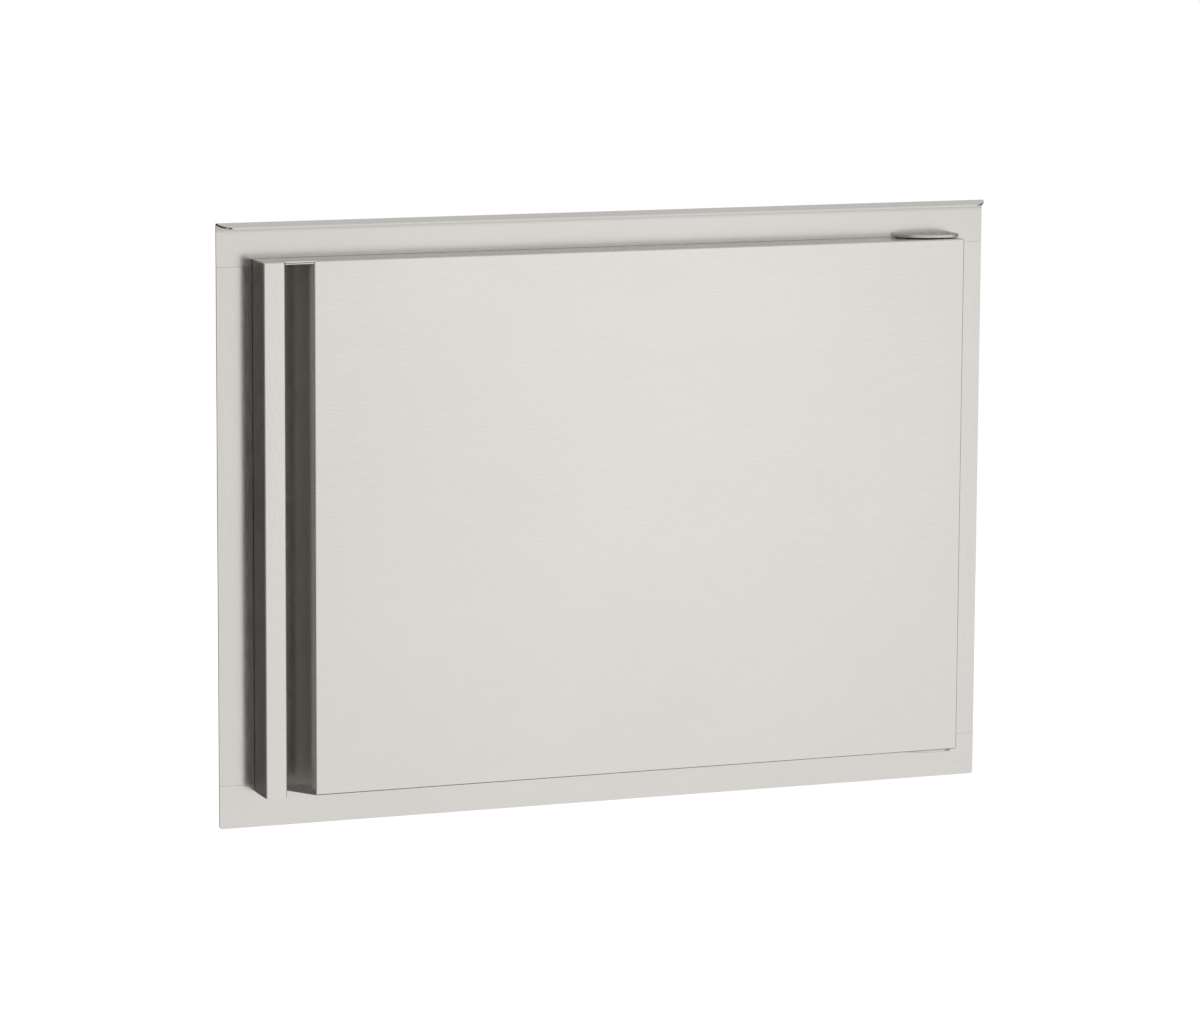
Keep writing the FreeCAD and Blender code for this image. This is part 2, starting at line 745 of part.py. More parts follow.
def rivet(x, z, back, grip):
    """Blind rivet with a domed head on the door's back and a bulb behind the last sheet."""
    seat = Vector(x, back, z)
    out = Vector(0, 1, 0)
    shank = bar(rivet_radius, seat - out * grip, seat)
    end = back - grip - rivet_tail_height
    tail = bar(rivet_tail_radius, Vector(x, end, z), seat - out * grip)
    tail = tail.makeFillet(rivet_tail_round, edges_where(tail, lambda p: same(p.y, end)))
    dome = (rivet_head_radius ** 2 + rivet_head_height ** 2) / (2 * rivet_head_height)
    ball = Part.makeSphere(dome, seat + out * (rivet_head_height - dome))
    head = ball.common(bar(rivet_head_radius, seat, seat + out * rivet_head_height))
    return shank.fuse([head, tail]).removeSplitter()


def rivets(places, back, grip):
    """A group of like rivets."""
    return Part.makeCompound([rivet(x, z, back, grip) for x, z in places])


def liner_rivets():
    """Rivets through the liner and the leaning wall's foot."""
    return rivets(foot_rivet_places(), door_back, 2 * door_sheet)


def hinge_bracket_rivets():
    """Rivets through the liner and the webs of both hinge brackets."""
    return rivets(upper_rivet_places() + lower_rivet_places(), door_back, door_sheet + bracket_sheet)


def strike_plate_rivets():
    """Rivets through the strike plate and the liner."""
    return rivets(strike_rivet_places(), strike_back, strike_thickness + door_sheet)


parts = [
    frame_top_rail, frame_bottom_rail, frame_left_stile, frame_right_stile,
    upper_hinge_tab, lower_hinge_tab, lower_hinge_pin, hinge_thrust_washer,
    magnet_catch_case, catch_magnet, catch_pole_plates, catch_screws,
    door_front_skin, door_handle_strip, handle_channel_top_cap, door_inner_liner, liner_rivets,
    strike_plate, strike_plate_rivets,
    upper_hinge_bracket, lower_hinge_bracket, hinge_bracket_rivets, upper_hinge_bush, lower_hinge_bush,
    hinge_pin_spring, upper_hinge_pin, hinge_pin_clip,
]

os.makedirs("parts", exist_ok=True)
for part in parts:
    shape = part()
    shape.exportStep("parts/" + part.__name__ + ".step")
    print(part.__name__, shape.isValid(), len(shape.Solids), round(shape.Volume, 2))
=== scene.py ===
"""Looks of the barbecue island access door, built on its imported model. Metres, Z up, the door's face along -Y."""
import math

import bmesh
import bpy
from mathutils import Matrix, Vector


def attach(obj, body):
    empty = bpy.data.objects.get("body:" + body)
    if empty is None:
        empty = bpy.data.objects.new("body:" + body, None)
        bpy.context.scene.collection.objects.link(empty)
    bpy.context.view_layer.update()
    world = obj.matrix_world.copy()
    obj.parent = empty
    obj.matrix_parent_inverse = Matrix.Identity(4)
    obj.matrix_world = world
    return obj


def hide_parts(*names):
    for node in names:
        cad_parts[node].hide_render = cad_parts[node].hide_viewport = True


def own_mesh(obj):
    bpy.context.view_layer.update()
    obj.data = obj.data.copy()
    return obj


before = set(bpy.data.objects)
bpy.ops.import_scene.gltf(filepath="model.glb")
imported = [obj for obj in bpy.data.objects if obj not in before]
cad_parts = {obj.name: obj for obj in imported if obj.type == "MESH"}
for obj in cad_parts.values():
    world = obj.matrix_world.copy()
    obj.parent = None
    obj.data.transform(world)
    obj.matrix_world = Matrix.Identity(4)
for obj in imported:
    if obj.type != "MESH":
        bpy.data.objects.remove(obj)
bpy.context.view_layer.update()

# Camera, solved from the photograph's edges
CAMERA_PLACE = Vector((-1.27683, -3.30159, 0.54427))
CAMERA_YAW = math.radians(21.058)
CAMERA_PITCH = math.radians(8.813)
CAMERA_ROLL = math.radians(-0.301)
CAMERA_LENS = 152.82
CAMERA_SENSOR = 36.0

# Studio: the surroundings are white in the metal, and softer as light on matt surfaces
MATT_LIGHT = 0.8
FLOOR_LEVEL = -1.2
FLOOR_RADIUS = 7.0
FLOOR_GLOW = 0.42

# Share of a noise that its useful middle takes up, from and to
NOISE_MIDDLE = (0.3, 0.7)


def tree_of(owner):
    """An owner's node tree, emptied."""
    owner.use_nodes = True
    owner.node_tree.nodes.clear()
    return owner.node_tree


def add(tree, kind, **settings):
    """A node with its properties set."""
    node = tree.nodes.new(kind)
    for name, value in settings.items():
        setattr(node, name, value)
    return node


def put(tree, value, socket):
    """Gives a socket a number, a colour, or what another socket gives out."""
    if isinstance(value, (int, float)):
        socket.default_value = value
    elif isinstance(value, tuple):
        socket.default_value = (*value, 1)
    else:
        tree.links.new(value, socket)


def math_node(tree, operation, first, second=None):
    """The result of a sum on one or two values, which may be sockets or numbers."""
    node = add(tree, "ShaderNodeMath", operation=operation)
    put(tree, first, node.inputs[0])
    if second is not None:
        put(tree, second, node.inputs[1])
    return node.outputs[0]


def product(tree, *values):
    """Several values multiplied."""
    result = values[0]
    for value in values[1:]:
        result = math_node(tree, "MULTIPLY", result, value)
    return result


def total(tree, *values):
    """Several values added."""
    result = values[0]
    for value in values[1:]:
        result = math_node(tree, "ADD", result, value)
    return result


def ranged(tree, value, start, end, low, high, kind="LINEAR"):
    """A value from one range brought to another, and held at its ends."""
    node = add(tree, "ShaderNodeMapRange", interpolation_type=kind)
    for name, number in (("From Min", start), ("From Max", end), ("To Min", low), ("To Max", high)):
        node.inputs[name].default_value = number
    put(tree, value, node.inputs["Value"])
    return node.outputs[0]


def fade(tree, value, start, end, low=0.0, high=1.0):
    """A soft step from low at start to high at end."""
    return ranged(tree, value, start, end, low, high, "SMOOTHSTEP")


def spread_of(tree, value, low, high):
    """A noise's useful middle brought to a range."""
    return ranged(tree, value, *NOISE_MIDDLE, low, high)


def axes_of(tree, place):
    """The three sockets of a place."""
    split = add(tree, "ShaderNodeSeparateXYZ")
    put(tree, place, split.inputs[0])
    return split.outputs


def object_place(tree):
    """The place on the object itself."""
    return add(tree, "ShaderNodeTexCoord").outputs["Object"]


def glow(tree, level, kind="ShaderNodeEmission"):
    """White light of a level."""
    node = add(tree, kind)
    node.inputs["Color"].default_value = (1, 1, 1, 1)
    put(tree, level, node.inputs["Strength"])
    return node


def blended(tree, share, first, second):
    """A shader between two."""
    node = add(tree, "ShaderNodeMixShader")
    put(tree, share, node.inputs[0])
    put(tree, first.outputs[0], node.inputs[1])
    put(tree, second.outputs[0], node.inputs[2])
    return node


def summed(tree, first, second):
    """Two shaders on top of each other."""
    node = add(tree, "ShaderNodeAddShader")
    put(tree, first.outputs[0], node.inputs[0])
    put(tree, second.outputs[0], node.inputs[1])
    return node


def close(tree, shader, kind="ShaderNodeOutputMaterial"):
    """Sends a shader to the tree's output."""
    put(tree, shader.outputs[0], add(tree, kind).inputs["Surface"])


def background_rays(tree):
    """1 for rays that show the background: straight from the camera, and in metal and glass."""
    rays = add(tree, "ShaderNodeLightPath").outputs
    seen = math_node(tree, "MAXIMUM", rays["Is Camera Ray"], rays["Is Glossy Ray"])
    return math_node(tree, "MAXIMUM", seen, rays["Is Transmission Ray"])


def make_camera():
    """The photograph's camera."""
    ahead = Vector((math.sin(CAMERA_YAW) * math.cos(CAMERA_PITCH),
                    math.cos(CAMERA_YAW) * math.cos(CAMERA_PITCH), -math.sin(CAMERA_PITCH)))
    level_right = Vector((math.cos(CAMERA_YAW), -math.sin(CAMERA_YAW), 0))
    level_down = ahead.cross(level_right)
    right = level_right * math.cos(CAMERA_ROLL) + level_down * math.sin(CAMERA_ROLL)
    down = level_down * math.cos(CAMERA_ROLL) - level_right * math.sin(CAMERA_ROLL)
    data = bpy.data.cameras.new("photo_camera")
    data.lens = CAMERA_LENS
    data.sensor_width = CAMERA_SENSOR
    camera = bpy.data.objects.new("photo_camera", data)
    bpy.context.scene.collection.objects.link(camera)
    turn = Matrix((right, -down, -ahead)).transposed()
    camera.matrix_world = Matrix.Translation(CAMERA_PLACE) @ turn.to_4x4()
    bpy.context.scene.camera = camera


def make_world():
    """Even white surroundings, seen by the camera and in the metal, and a softer level on matt surfaces."""
    world = bpy.data.worlds.new("studio")
    bpy.context.scene.world = world
    world.cycles.sampling_method = "NONE"
    tree = tree_of(world)
    soft = glow(tree, MATT_LIGHT, "ShaderNodeBackground")
    seen = glow(tree, 1, "ShaderNodeBackground")
    close(tree, blended(tree, background_rays(tree), soft, seen), "ShaderNodeOutputWorld")


def studio_tree(piece, name):
    """Empty node tree of a new material on a studio piece, which isn't sampled as a lamp."""
    material = bpy.data.materials.new(name)
    material.cycles.emission_sampling = "NONE"
    piece.data.materials.append(material)
    return tree_of(material)


def disc(name, height, radius):
    """Level round plate in the studio."""
    bpy.ops.mesh.primitive_circle_add(vertices=96, radius=radius, fill_type="NGON", location=(0, 0, height))
    piece = bpy.context.object
    piece.name = name
    return piece


def make_floor():
    """Plain pale floor, well below the door."""
    floor = disc("studio_floor", FLOOR_LEVEL, FLOOR_RADIUS)
    tree = studio_tree(floor, "pale_floor")
    matt = add(tree, "ShaderNodeBsdfDiffuse")
    matt.inputs["Color"].default_value = (0.8, 0.8, 0.8, 1)
    light = blended(tree, background_rays(tree), glow(tree, 0), glow(tree, FLOOR_GLOW))
    close(tree, summed(tree, matt, light))


def only_in_metal(piece):
    """Leaves a studio piece to reflections alone."""
    piece.visible_camera = False
    piece.visible_diffuse = False
    piece.visible_shadow = False
    piece.visible_transmission = False


def card(name, azimuth, elevation, half_width, half_height, level, solid=True, edge=0.6, distance=3.0,
         seen_from=(0, 0, 0)):
    """Card that only shows in the metal, with soft edges: it hides what lies behind it, or adds its level to it.

    Its angles are in degrees, seen from the door's middle or from another place.
    """
    azimuth, elevation = math.radians(azimuth), math.radians(elevation)
    toward = Vector((math.sin(azimuth) * math.cos(elevation), math.cos(azimuth) * math.cos(elevation),
                     math.sin(elevation)))
    bpy.ops.mesh.primitive_plane_add(size=2, location=(0, 0, 0))
    plane = bpy.context.object
    plane.name = name
    plane.scale = (distance * math.tan(math.radians(half_width)), distance * math.tan(math.radians(half_height)), 1)
    plane.rotation_mode = "QUATERNION"
    plane.rotation_quaternion = toward.to_track_quat("-Z", "Y")
    plane.location = Vector(seen_from) + toward * distance
    tree = studio_tree(plane, name)
    axes = axes_of(tree, object_place(tree))
    cover = product(tree, *[fade(tree, math_node(tree, "ABSOLUTE", axes[axis]), 1.0, edge) for axis in ("X", "Y")])
    clear = add(tree, "ShaderNodeBsdfTransparent")
    if solid:
        shader = blended(tree, cover, clear, glow(tree, level))
    else:
        shader = summed(tree, clear, glow(tree, product(tree, cover, level)))
    close(tree, shader)
    only_in_metal(plane)


def level_card(name, height, radius, rim, middle, rim_from, middle_to):
    """Round level card over or under the door, seen only in the metal, with one level at its rim and one inside."""
    plate = disc(name, height, radius)
    tree = studio_tree(plate, name)
    length = add(tree, "ShaderNodeVectorMath", operation="LENGTH")
    put(tree, object_place(tree), length.inputs[0])
    reach = length.outputs["Value"]
    light = glow(tree, fade(tree, reach, rim_from, middle_to, rim, middle))
    clear = add(tree, "ShaderNodeBsdfTransparent")
    close(tree, blended(tree, fade(tree, reach, radius, radius * 0.8), clear, light))
    only_in_metal(plate)


def noise(tree, place, cells, detail=2.0):
    """Noise at a scale given for each axis, in cells to the metre."""
    stretch = add(tree, "ShaderNodeMapping")
    stretch.inputs["Scale"].default_value = cells
    put(tree, place, stretch.inputs["Vector"])
    texture = add(tree, "ShaderNodeTexNoise")
    texture.inputs["Scale"].default_value = 1
    texture.inputs["Detail"].default_value = detail
    texture.inputs["Roughness"].default_value = 0.5
    put(tree, stretch.outputs[0], texture.inputs["Vector"])
    return texture.outputs["Fac"]


def grained(grain, along, across):
    """Cells to the metre of a noise that is drawn out along X, Y or Z."""
    return [along if axis == grain else across for axis in "XYZ"]


def edge_mask(tree, reach):
    """1 on the sharp edges of a piece, from the way a bevel of this reach would turn its surface."""
    soft = add(tree, "ShaderNodeBevel", samples=4)
    soft.inputs["Radius"].default_value = reach
    true = add(tree, "ShaderNodeNewGeometry")
    turn = add(tree, "ShaderNodeVectorMath", operation="DOT_PRODUCT")
    put(tree, soft.outputs[0], turn.inputs[0])
    put(tree, true.outputs["Normal"], turn.inputs[1])
    return fade(tree, turn.outputs["Value"], 0.995, 0.85)


def mixed_colour(tree, share, first, second):
    """Colour between two."""
    node = add(tree, "ShaderNodeMix", data_type="RGBA")
    put(tree, share, node.inputs["Factor"])
    put(tree, first, node.inputs["A"])
    put(tree, second, node.inputs["B"])
    return node.outputs["Result"]


def tinted(tree, colour, *levels):
    """Colour darkened or lightened by several levels about 1."""
    node = add(tree, "ShaderNodeMix", data_type="RGBA", blend_type="MULTIPLY")
    node.inputs["Factor"].default_value = 1
    put(tree, colour, node.inputs["A"])
    put(tree, product(tree, *levels), node.inputs["B"])
    return node.outputs["Result"]


def worn_edges(tree, colour, reach, share, worn_colour):
    """Colour that turns towards another on the piece's sharp edges."""
    return mixed_colour(tree, product(tree, edge_mask(tree, reach), share), colour, worn_colour)


def brighter(colour, times):
    """A colour some times as bright."""
    return tuple(min(1.0, level * times) for level in colour)


def surface(material, tree, colour, rough, height, depth, metallic=1.0):
    """Closes a material with its colour, roughness and relief."""
    relief = add(tree, "ShaderNodeBump")
    relief.inputs["Strength"].default_value = 1.0
    relief.inputs["Distance"].default_value = depth
    put(tree, height, relief.inputs["Height"])
    shader = add(tree, "ShaderNodeBsdfPrincipled")
    shader.inputs["Metallic"].default_value = metallic
    put(tree, colour, shader.inputs["Base Color"])
    put(tree, rough, shader.inputs["Roughness"])
    put(tree, relief.outputs[0], shader.inputs["Normal"])
    close(tree, shader)
    return material


def region(tree, place, limits):
    """Mask of a part of a piece, from limits on X, Y and Z that each fade in from a first to a second place."""
    axes = axes_of(tree, place)
    return product(tree, *[fade(tree, axes[axis], start, end) for axis, start, end in limits])


def lip_corner_painted_shade(tree, place):
    """Mask of the cut edge round the drip lip's two front corners, which is darkened as painted shade of the gap
    under the lip.
    """
    axes = axes_of(tree, place)
    depth = LIP_CORNER * math.cos(LIP_ANGLE)
    middle = ((HALF_WIDTH - LIP_CORNER) / 1000, (LIP_FRONT + depth) / 1000)
    across = math_node(tree, "SUBTRACT", math_node(tree, "ABSOLUTE", axes["X"]), middle[0])
    across = product(tree, across, 1000 / LIP_CORNER)
    forward = product(tree, math_node(tree, "SUBTRACT", middle[1], axes["Y"]), 1000 / depth)
    reach = total(tree, product(tree, across, across), product(tree, forward, forward))
    return product(tree, fade(tree, reach, 0.95, 0.97), fade(tree, across, 0.35, 0.6), fade(tree, forward, 0.0, 0.1))


def brushed_steel(name, colour, grain, roughness=0.17, contrast=1.0, painted_light_and_seam=None, dull=None, lip=False):
    """Brushed stainless steel: dashes and fine lines along X, Y or Z, cloudy handling marks, and bright worn edges.

    The tone of painted light and seams is how much lighter or darker a region is: painted shade under the drip lip,
    painted light on the recess wall, and dark lines along seams. Dull is how much rougher a region is that the
    polishing belt doesn't reach. Lip adds painted shade along the cut edge round the drip lip's front corners.
    """
    material = bpy.data.materials.new(name)
    tree = tree_of(material)
    place = object_place(tree)
    dashes = noise(tree, place, grained(grain, 110, 1300), 1.0)
    lines = noise(tree, place, grained(grain, 24, 4200))
    clouds = noise(tree, place, (7, 7, 7), 3.0)
    smears = noise(tree, place, grained(grain, 9, 30))
    scratch = fade(tree, noise(tree, place, grained(grain, 16, 900), 1.0), 0.68, 0.76)
    dash_depth, line_depth = 0.022 * contrast, 0.012 * contrast
    plain = tinted(tree, colour, spread_of(tree, dashes, 1 - dash_depth, 1 + dash_depth),
                   spread_of(tree, lines, 1 - line_depth, 1 + line_depth), spread_of(tree, clouds, 0.99, 1.01))
    # Painted shade and painted light of a region, and dark seam lines, multiplied into the colour
    if painted_light_and_seam:
        change, limits = painted_light_and_seam
        plain = tinted(tree, plain, total(tree, 1.0, product(tree, region(tree, place, limits), change)))
    worn = worn_edges(tree, plain, 0.0004, 0.35, brighter(colour, 1.12))
    # Painted shade on the cut edge round the drip lip's front corners, where the lip shades the flange
    if lip:
        dark = product(tree, lip_corner_painted_shade(tree, place), 0.75)
        worn = tinted(tree, worn, math_node(tree, "SUBTRACT", 1.0, dark))
    rough = total(tree, spread_of(tree, dashes, roughness - 0.02, roughness + 0.02),
                  spread_of(tree, smears, -0.012, 0.012), product(tree, scratch, 0.03))
    if dull:
        change, limits = dull
        rough = total(tree, rough, product(tree, region(tree, place, limits), change))
    height = total(tree, product(tree, dashes, 0.6), lines)
    return surface(material, tree, worn, rough, height, 0.0000006)


def bare_metal(name, colour, roughness, grain, cells, stain, metallic=1.0):
    """Turned, drawn or plated metal or a hard ceramic, with tool marks along an axis, a stain and worn edges."""
    material = bpy.data.materials.new(name)
    tree = tree_of(material)
    place = object_place(tree)
    marks = noise(tree, place, grained(grain, cells * 0.06, cells))
    clouds = noise(tree, place, (160, 160, 160), 3.0)
    base = mixed_colour(tree, spread_of(tree, clouds, 0.0, 0.6), colour, stain)
    base = tinted(tree, base, spread_of(tree, marks, 0.95, 1.05))
    worn = worn_edges(tree, base, 0.0003, 0.5, brighter(colour, 1.25))
    rough = total(tree, spread_of(tree, marks, roughness - 0.04, roughness + 0.04),
                  spread_of(tree, clouds, -0.04, 0.04))
    return surface(material, tree, worn, rough, marks, 0.000002, metallic)


def moulded_plastic(name, colour, roughness, worn_colour):
    """Moulded plastic with a fine spark-eroded grain, a slight sheen change and scuffed edges."""
    material = bpy.data.materials.new(name)
    tree = tree_of(material)
    place = object_place(tree)
    grain = noise(tree, place, (2600, 2600, 2600))
    clouds = noise(tree, place, (90, 90, 90), 3.0)
    base = tinted(tree, colour, spread_of(tree, clouds, 0.94, 1.06), spread_of(tree, grain, 0.97, 1.03))
    worn = worn_edges(tree, base, 0.0003, 0.5, worn_colour)
    rough = total(tree, spread_of(tree, grain, roughness - 0.05, roughness + 0.05),
                  spread_of(tree, clouds, -0.05, 0.05))
    return surface(material, tree, worn, rough, grain, 0.00001, 0.0)


# Pieces, modelled in millimetres and brought to metres when they are finished

FRAME_SHEET = 1.2
DOOR_SHEET = 0.9
HALF_WIDTH, HALF_HEIGHT = 285.75, 209.55
OPENING_X, OPENING_Z = 255.75, 179.55
JAMB_X, JAMB_Z = 256.95, 180.75
JAMB_DEPTH = 50.0
LIP_FRONT, LIP_SLOPE = -12.2, 2.7 / 11.0
LIP_ANGLE = math.atan(LIP_SLOPE)
LIP_CORNER = 10.77
CREST = HALF_HEIGHT + 2.0 * (LIP_SLOPE + math.hypot(1, LIP_SLOPE) - 1)
DOOR_X, DOOR_Z = 260.35, 184.65
TAB_Z, CLIP_Z = DOOR_Z + 0.6, DOOR_Z - 8.2
DOOR_FRONT, DOOR_BACK = -27.6, -2.2
LINER_FRONT = -3.1
STRIP_EDGE, WALL_FRONT, WALL_FOOT = -245.15, -224.2, -240.35
PIVOT = Vector((251.25, -13.2, 0))
RELIEF_SIDE_Y = PIVOT.y + math.sqrt(11.45 ** 2 - 9.1 ** 2)
RELIEF_BACK_X = PIVOT.x + math.sqrt(11.45 ** 2 - 11.0 ** 2)
WALL_LEAN = (WALL_FOOT - WALL_FRONT) / (LINER_FRONT - DOOR_FRONT)
TAB_LEFT, TAB_RIGHT, TAB_FRONT, TAB_SHOULDER = 216.65, 261.25, -23.2, -7.2
TAB_SHEET = 2.0
TENONS, TENON_HALF = (227.3, 250.6), 4.0
FIXING_Y, FIXING_Z, FIXING_RADIUS = 35.0, 127.0, 2.5
PIN_RADIUS, BORE_RADIUS, BUSH_HOLE, RIVET_HOLE = 3.0, 3.05, 4.52, 1.65
SPRING_FOOT, PIN_TRAVEL = 130.75, 6.0
CATCH_FRONT, CATCH_BACK, CATCH_SCREW_Y, CATCH_SCREW_Z = 0.8, 20.8, 10.8, 18.5
FOOT_RIVETS = [(-232.85, z) for z in (-159.75, -79.875, 0.0, 79.875, 159.75)]
BRACKET_RIVETS = [(238.5, z) for z in (171.25, 141.25, -163.25, -174.25)]
STRIKE_RIVETS = [(-248.5, z) for z in (-16.0, 16.0)]


def to_mode(mode):
    """Object or edit mode on the piece in hand."""
    bpy.ops.object.mode_set(mode=mode)


def take(*pieces):
    """Selects pieces alone, the first of them as the one in hand."""
    bpy.ops.object.select_all(action="DESELECT")
    for piece in pieces:
        piece.select_set(True)
    bpy.context.view_layer.objects.active = pieces[0]


def settle():
    """Works the place, turn and size of the piece in hand into its mesh."""
    bpy.ops.object.transform_apply(location=True, rotation=True, scale=True)


def flat(corner, across, up):
    """Plane from one corner along two edges, in edit mode, that faces the way across and up turn about."""
    bpy.ops.mesh.primitive_plane_add(size=1)
    piece = bpy.context.object
    across, up = Vector(across), Vector(up)
    turn = Matrix((across, up, across.cross(up).normalized())).transposed()
    piece.matrix_world = Matrix.Translation(Vector(corner) + (across + up) / 2) @ turn.to_4x4()
    settle()
    to_mode("EDIT")
    return piece


def block(low, high):
    """Box between two corners, in edit mode."""
    low, high = Vector(low), Vector(high)
    bpy.ops.mesh.primitive_cube_add(size=1, location=(low + high) / 2)
    piece = bpy.context.object
    piece.scale = high - low
    settle()
    to_mode("EDIT")
    return piece


def box_between(low, high):
    """Box between two corners, in object mode."""
    piece = block(low, high)
    to_mode("OBJECT")
    return piece


def rod(radius, start, end, sides=48):
    """Round bar between two points, in edit mode."""
    start, end = Vector(start), Vector(end)
    bpy.ops.mesh.primitive_cylinder_add(vertices=sides, radius=radius, depth=(end - start).length,
                                        location=(start + end) / 2)
    piece = bpy.context.object
    piece.rotation_mode = "QUATERNION"
    piece.rotation_quaternion = (end - start).to_track_quat("Z", "Y")
    settle()
    to_mode("EDIT")
    return piece


def on(x=None, y=None, z=None):
    """Test for points within a hundredth of the given places, each a number or a range."""
    def test(*points):
        for point in points:
            for value, wanted in zip(point, (x, y, z)):
                if wanted is None:
                    continue
                low, high = wanted if isinstance(wanted, tuple) else (wanted, wanted)
                if not low - 0.01 <= value <= high + 0.01:
                    return False
        return True
    return test


def any_of(*tests):
    """Test that passes where one of several does."""
    return lambda *points: any(test(*points) for test in tests)


def pick(test, kind="EDGE"):
    """Selects the vertices, edges or faces whose every vertex passes a test."""
    bpy.ops.mesh.select_mode(type=kind)
    bpy.ops.mesh.select_all(action="DESELECT")
    mesh = bmesh.from_edit_mesh(bpy.context.object.data)
    items = {"VERT": mesh.verts, "EDGE": mesh.edges, "FACE": mesh.faces}[kind]
    for item in items:
        corners = [item] if kind == "VERT" else item.verts
        if test(*[corner.co for corner in corners]):
            item.select_set(True)
    mesh.select_flush_mode()
    bmesh.update_edit_mesh(bpy.context.object.data)


def remove_faces(test):
    """Deletes the faces that pass a test."""
    pick(test, "FACE")
    bpy.ops.mesh.delete(type="FACE")


def extrude(test, *moves):
    """Extrudes the edges that pass a test, once for each move."""
    pick(test)
    for move in moves:
        bpy.ops.mesh.extrude_region_move(TRANSFORM_OT_translate={"value": move})


def shift(test, move):
    """Moves the corners that pass a test."""
    pick(test, "VERT")
    bpy.ops.transform.translate(value=move)


def split(place, direction, test=None, **options):
    """Cuts the faces that pass a test, or everything, along a plane."""
    if test:
        pick(test, "FACE")
    else:
        bpy.ops.mesh.select_all(action="SELECT")
    bpy.ops.mesh.bisect(plane_co=place, plane_no=Vector(direction).normalized(), **options)


def round_fold(test, radius, turn=90.0, segments=5):
    """Rounds the folds that pass a test to a radius on the side of the sheet that is drawn."""
    pick(test, "EDGE")
    bpy.ops.mesh.bevel(offset=radius * math.tan(math.radians(turn) / 2), segments=segments, affect="EDGES")


def round_corner(test, radius, turn=90.0, segments=8):
    """Rounds the corners of a flat outline that pass a test."""
    pick(test, "VERT")
    bpy.ops.mesh.bevel(offset=radius * math.tan(math.radians(turn) / 2), segments=segments, affect="VERTICES")


def apply_modifier(piece, kind, **settings):
    """Adds a modifier and applies it."""
    modifier = piece.modifiers.new(kind.lower(), kind)
    for name, value in settings.items():
        setattr(modifier, name, value)
    take(piece)
    bpy.ops.object.modifier_apply(modifier=modifier.name)


def thicken(piece, sheet):
    """Gives a drawn surface its sheet's thickness, away from its outer side."""
    to_mode("OBJECT")
    apply_modifier(piece, "SOLIDIFY", thickness=sheet, offset=-1, use_even_offset=True, use_quality_normals=True)


def combine(piece, other, operation):
    """Adds another solid to a piece, or cuts it away."""
    if bpy.context.object.mode == "EDIT":
        to_mode("OBJECT")
    apply_modifier(piece, "BOOLEAN", operation=operation, object=other, solver="EXACT")
    bpy.data.objects.remove(other)


def together(piece, *others):
    """Joins pieces that are welded into one."""
    take(piece, *others)
    bpy.ops.object.join()


def drill(piece, radius, start, end):
    """Cuts a round hole between two points."""
    bit = rod(radius, start, end)
    to_mode("OBJECT")
    combine(piece, bit, "DIFFERENCE")


def mirrored_copy(piece, axis):
    """The same piece on the other side of the door's middle, with its own mesh."""
    take(piece)
    bpy.ops.object.duplicate()
    copy = bpy.context.object
    copy.scale = [-1 if name == axis else 1 for name in "XYZ"]
    settle()
    to_mode("EDIT")
    bpy.ops.mesh.select_all(action="SELECT")
    bpy.ops.mesh.flip_normals()
    to_mode("OBJECT")
    return copy


def finish(piece, node, body, material, edge=0.12):
    """Breaks the piece's sharp edges, brings it to metres and hands it over in place of its plain solid."""
    if bpy.context.object and bpy.context.object.mode == "EDIT":
        to_mode("OBJECT")
    if edge:
        apply_modifier(piece, "BEVEL", width=edge, segments=2, limit_method="ANGLE", angle_limit=math.radians(35),
                       use_clamp_overlap=True)
    take(piece)
    piece.scale = (0.001, 0.001, 0.001)
    settle()
    bpy.ops.object.shade_smooth_by_angle(angle=math.radians(30))
    apply_modifier(piece, "WEIGHTED_NORMAL", mode="FACE_AREA", keep_sharp=True)
    piece.data.materials.clear()
    piece.data.materials.append(material)
    piece.name = node + "_piece"
    piece.data.name = piece.name
    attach(piece, body)
    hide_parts(node)


def object_rod(radius, low, high):
    """Round bar about the Z axis, in object mode."""
    piece = rod(radius, (0, 0, low), (0, 0, high), 32)
    to_mode("OBJECT")
    return piece


def pivot_rod(radius, low, high):
    """Round bar on the hinge's axis, in object mode."""
    piece = rod(radius, PIVOT + Vector((0, 0, low)), PIVOT + Vector((0, 0, high)))
    to_mode("OBJECT")
    return piece


def coil(radius, wire, sides, turns, low, high, steps=36):
    """Wire wound about the Z axis, its ends cut flat."""
    bpy.ops.mesh.primitive_circle_add(vertices=sides, radius=wire, fill_type="NOTHING",
                                      rotation=(math.radians(90), 0, 0), location=(radius, 0, low))
    piece = bpy.context.object
    settle()
    apply_modifier(piece, "SCREW", angle=math.tau, screw_offset=(high - low) / turns, iterations=turns, steps=steps,
                   use_merge_vertices=True)
    to_mode("EDIT")
    bpy.ops.mesh.select_mode(type="EDGE")
    bpy.ops.mesh.select_all(action="DESELECT")
    bpy.ops.mesh.select_non_manifold()
    bpy.ops.mesh.edge_face_add()
    split((0, 0, low), (0, 0, 1), clear_inner=True, use_fill=True)
    split((0, 0, high), (0, 0, 1), clear_outer=True, use_fill=True)
    bpy.ops.mesh.select_all(action="SELECT")
    bpy.ops.mesh.normals_make_consistent(inside=False)
    to_mode("OBJECT")
    return piece


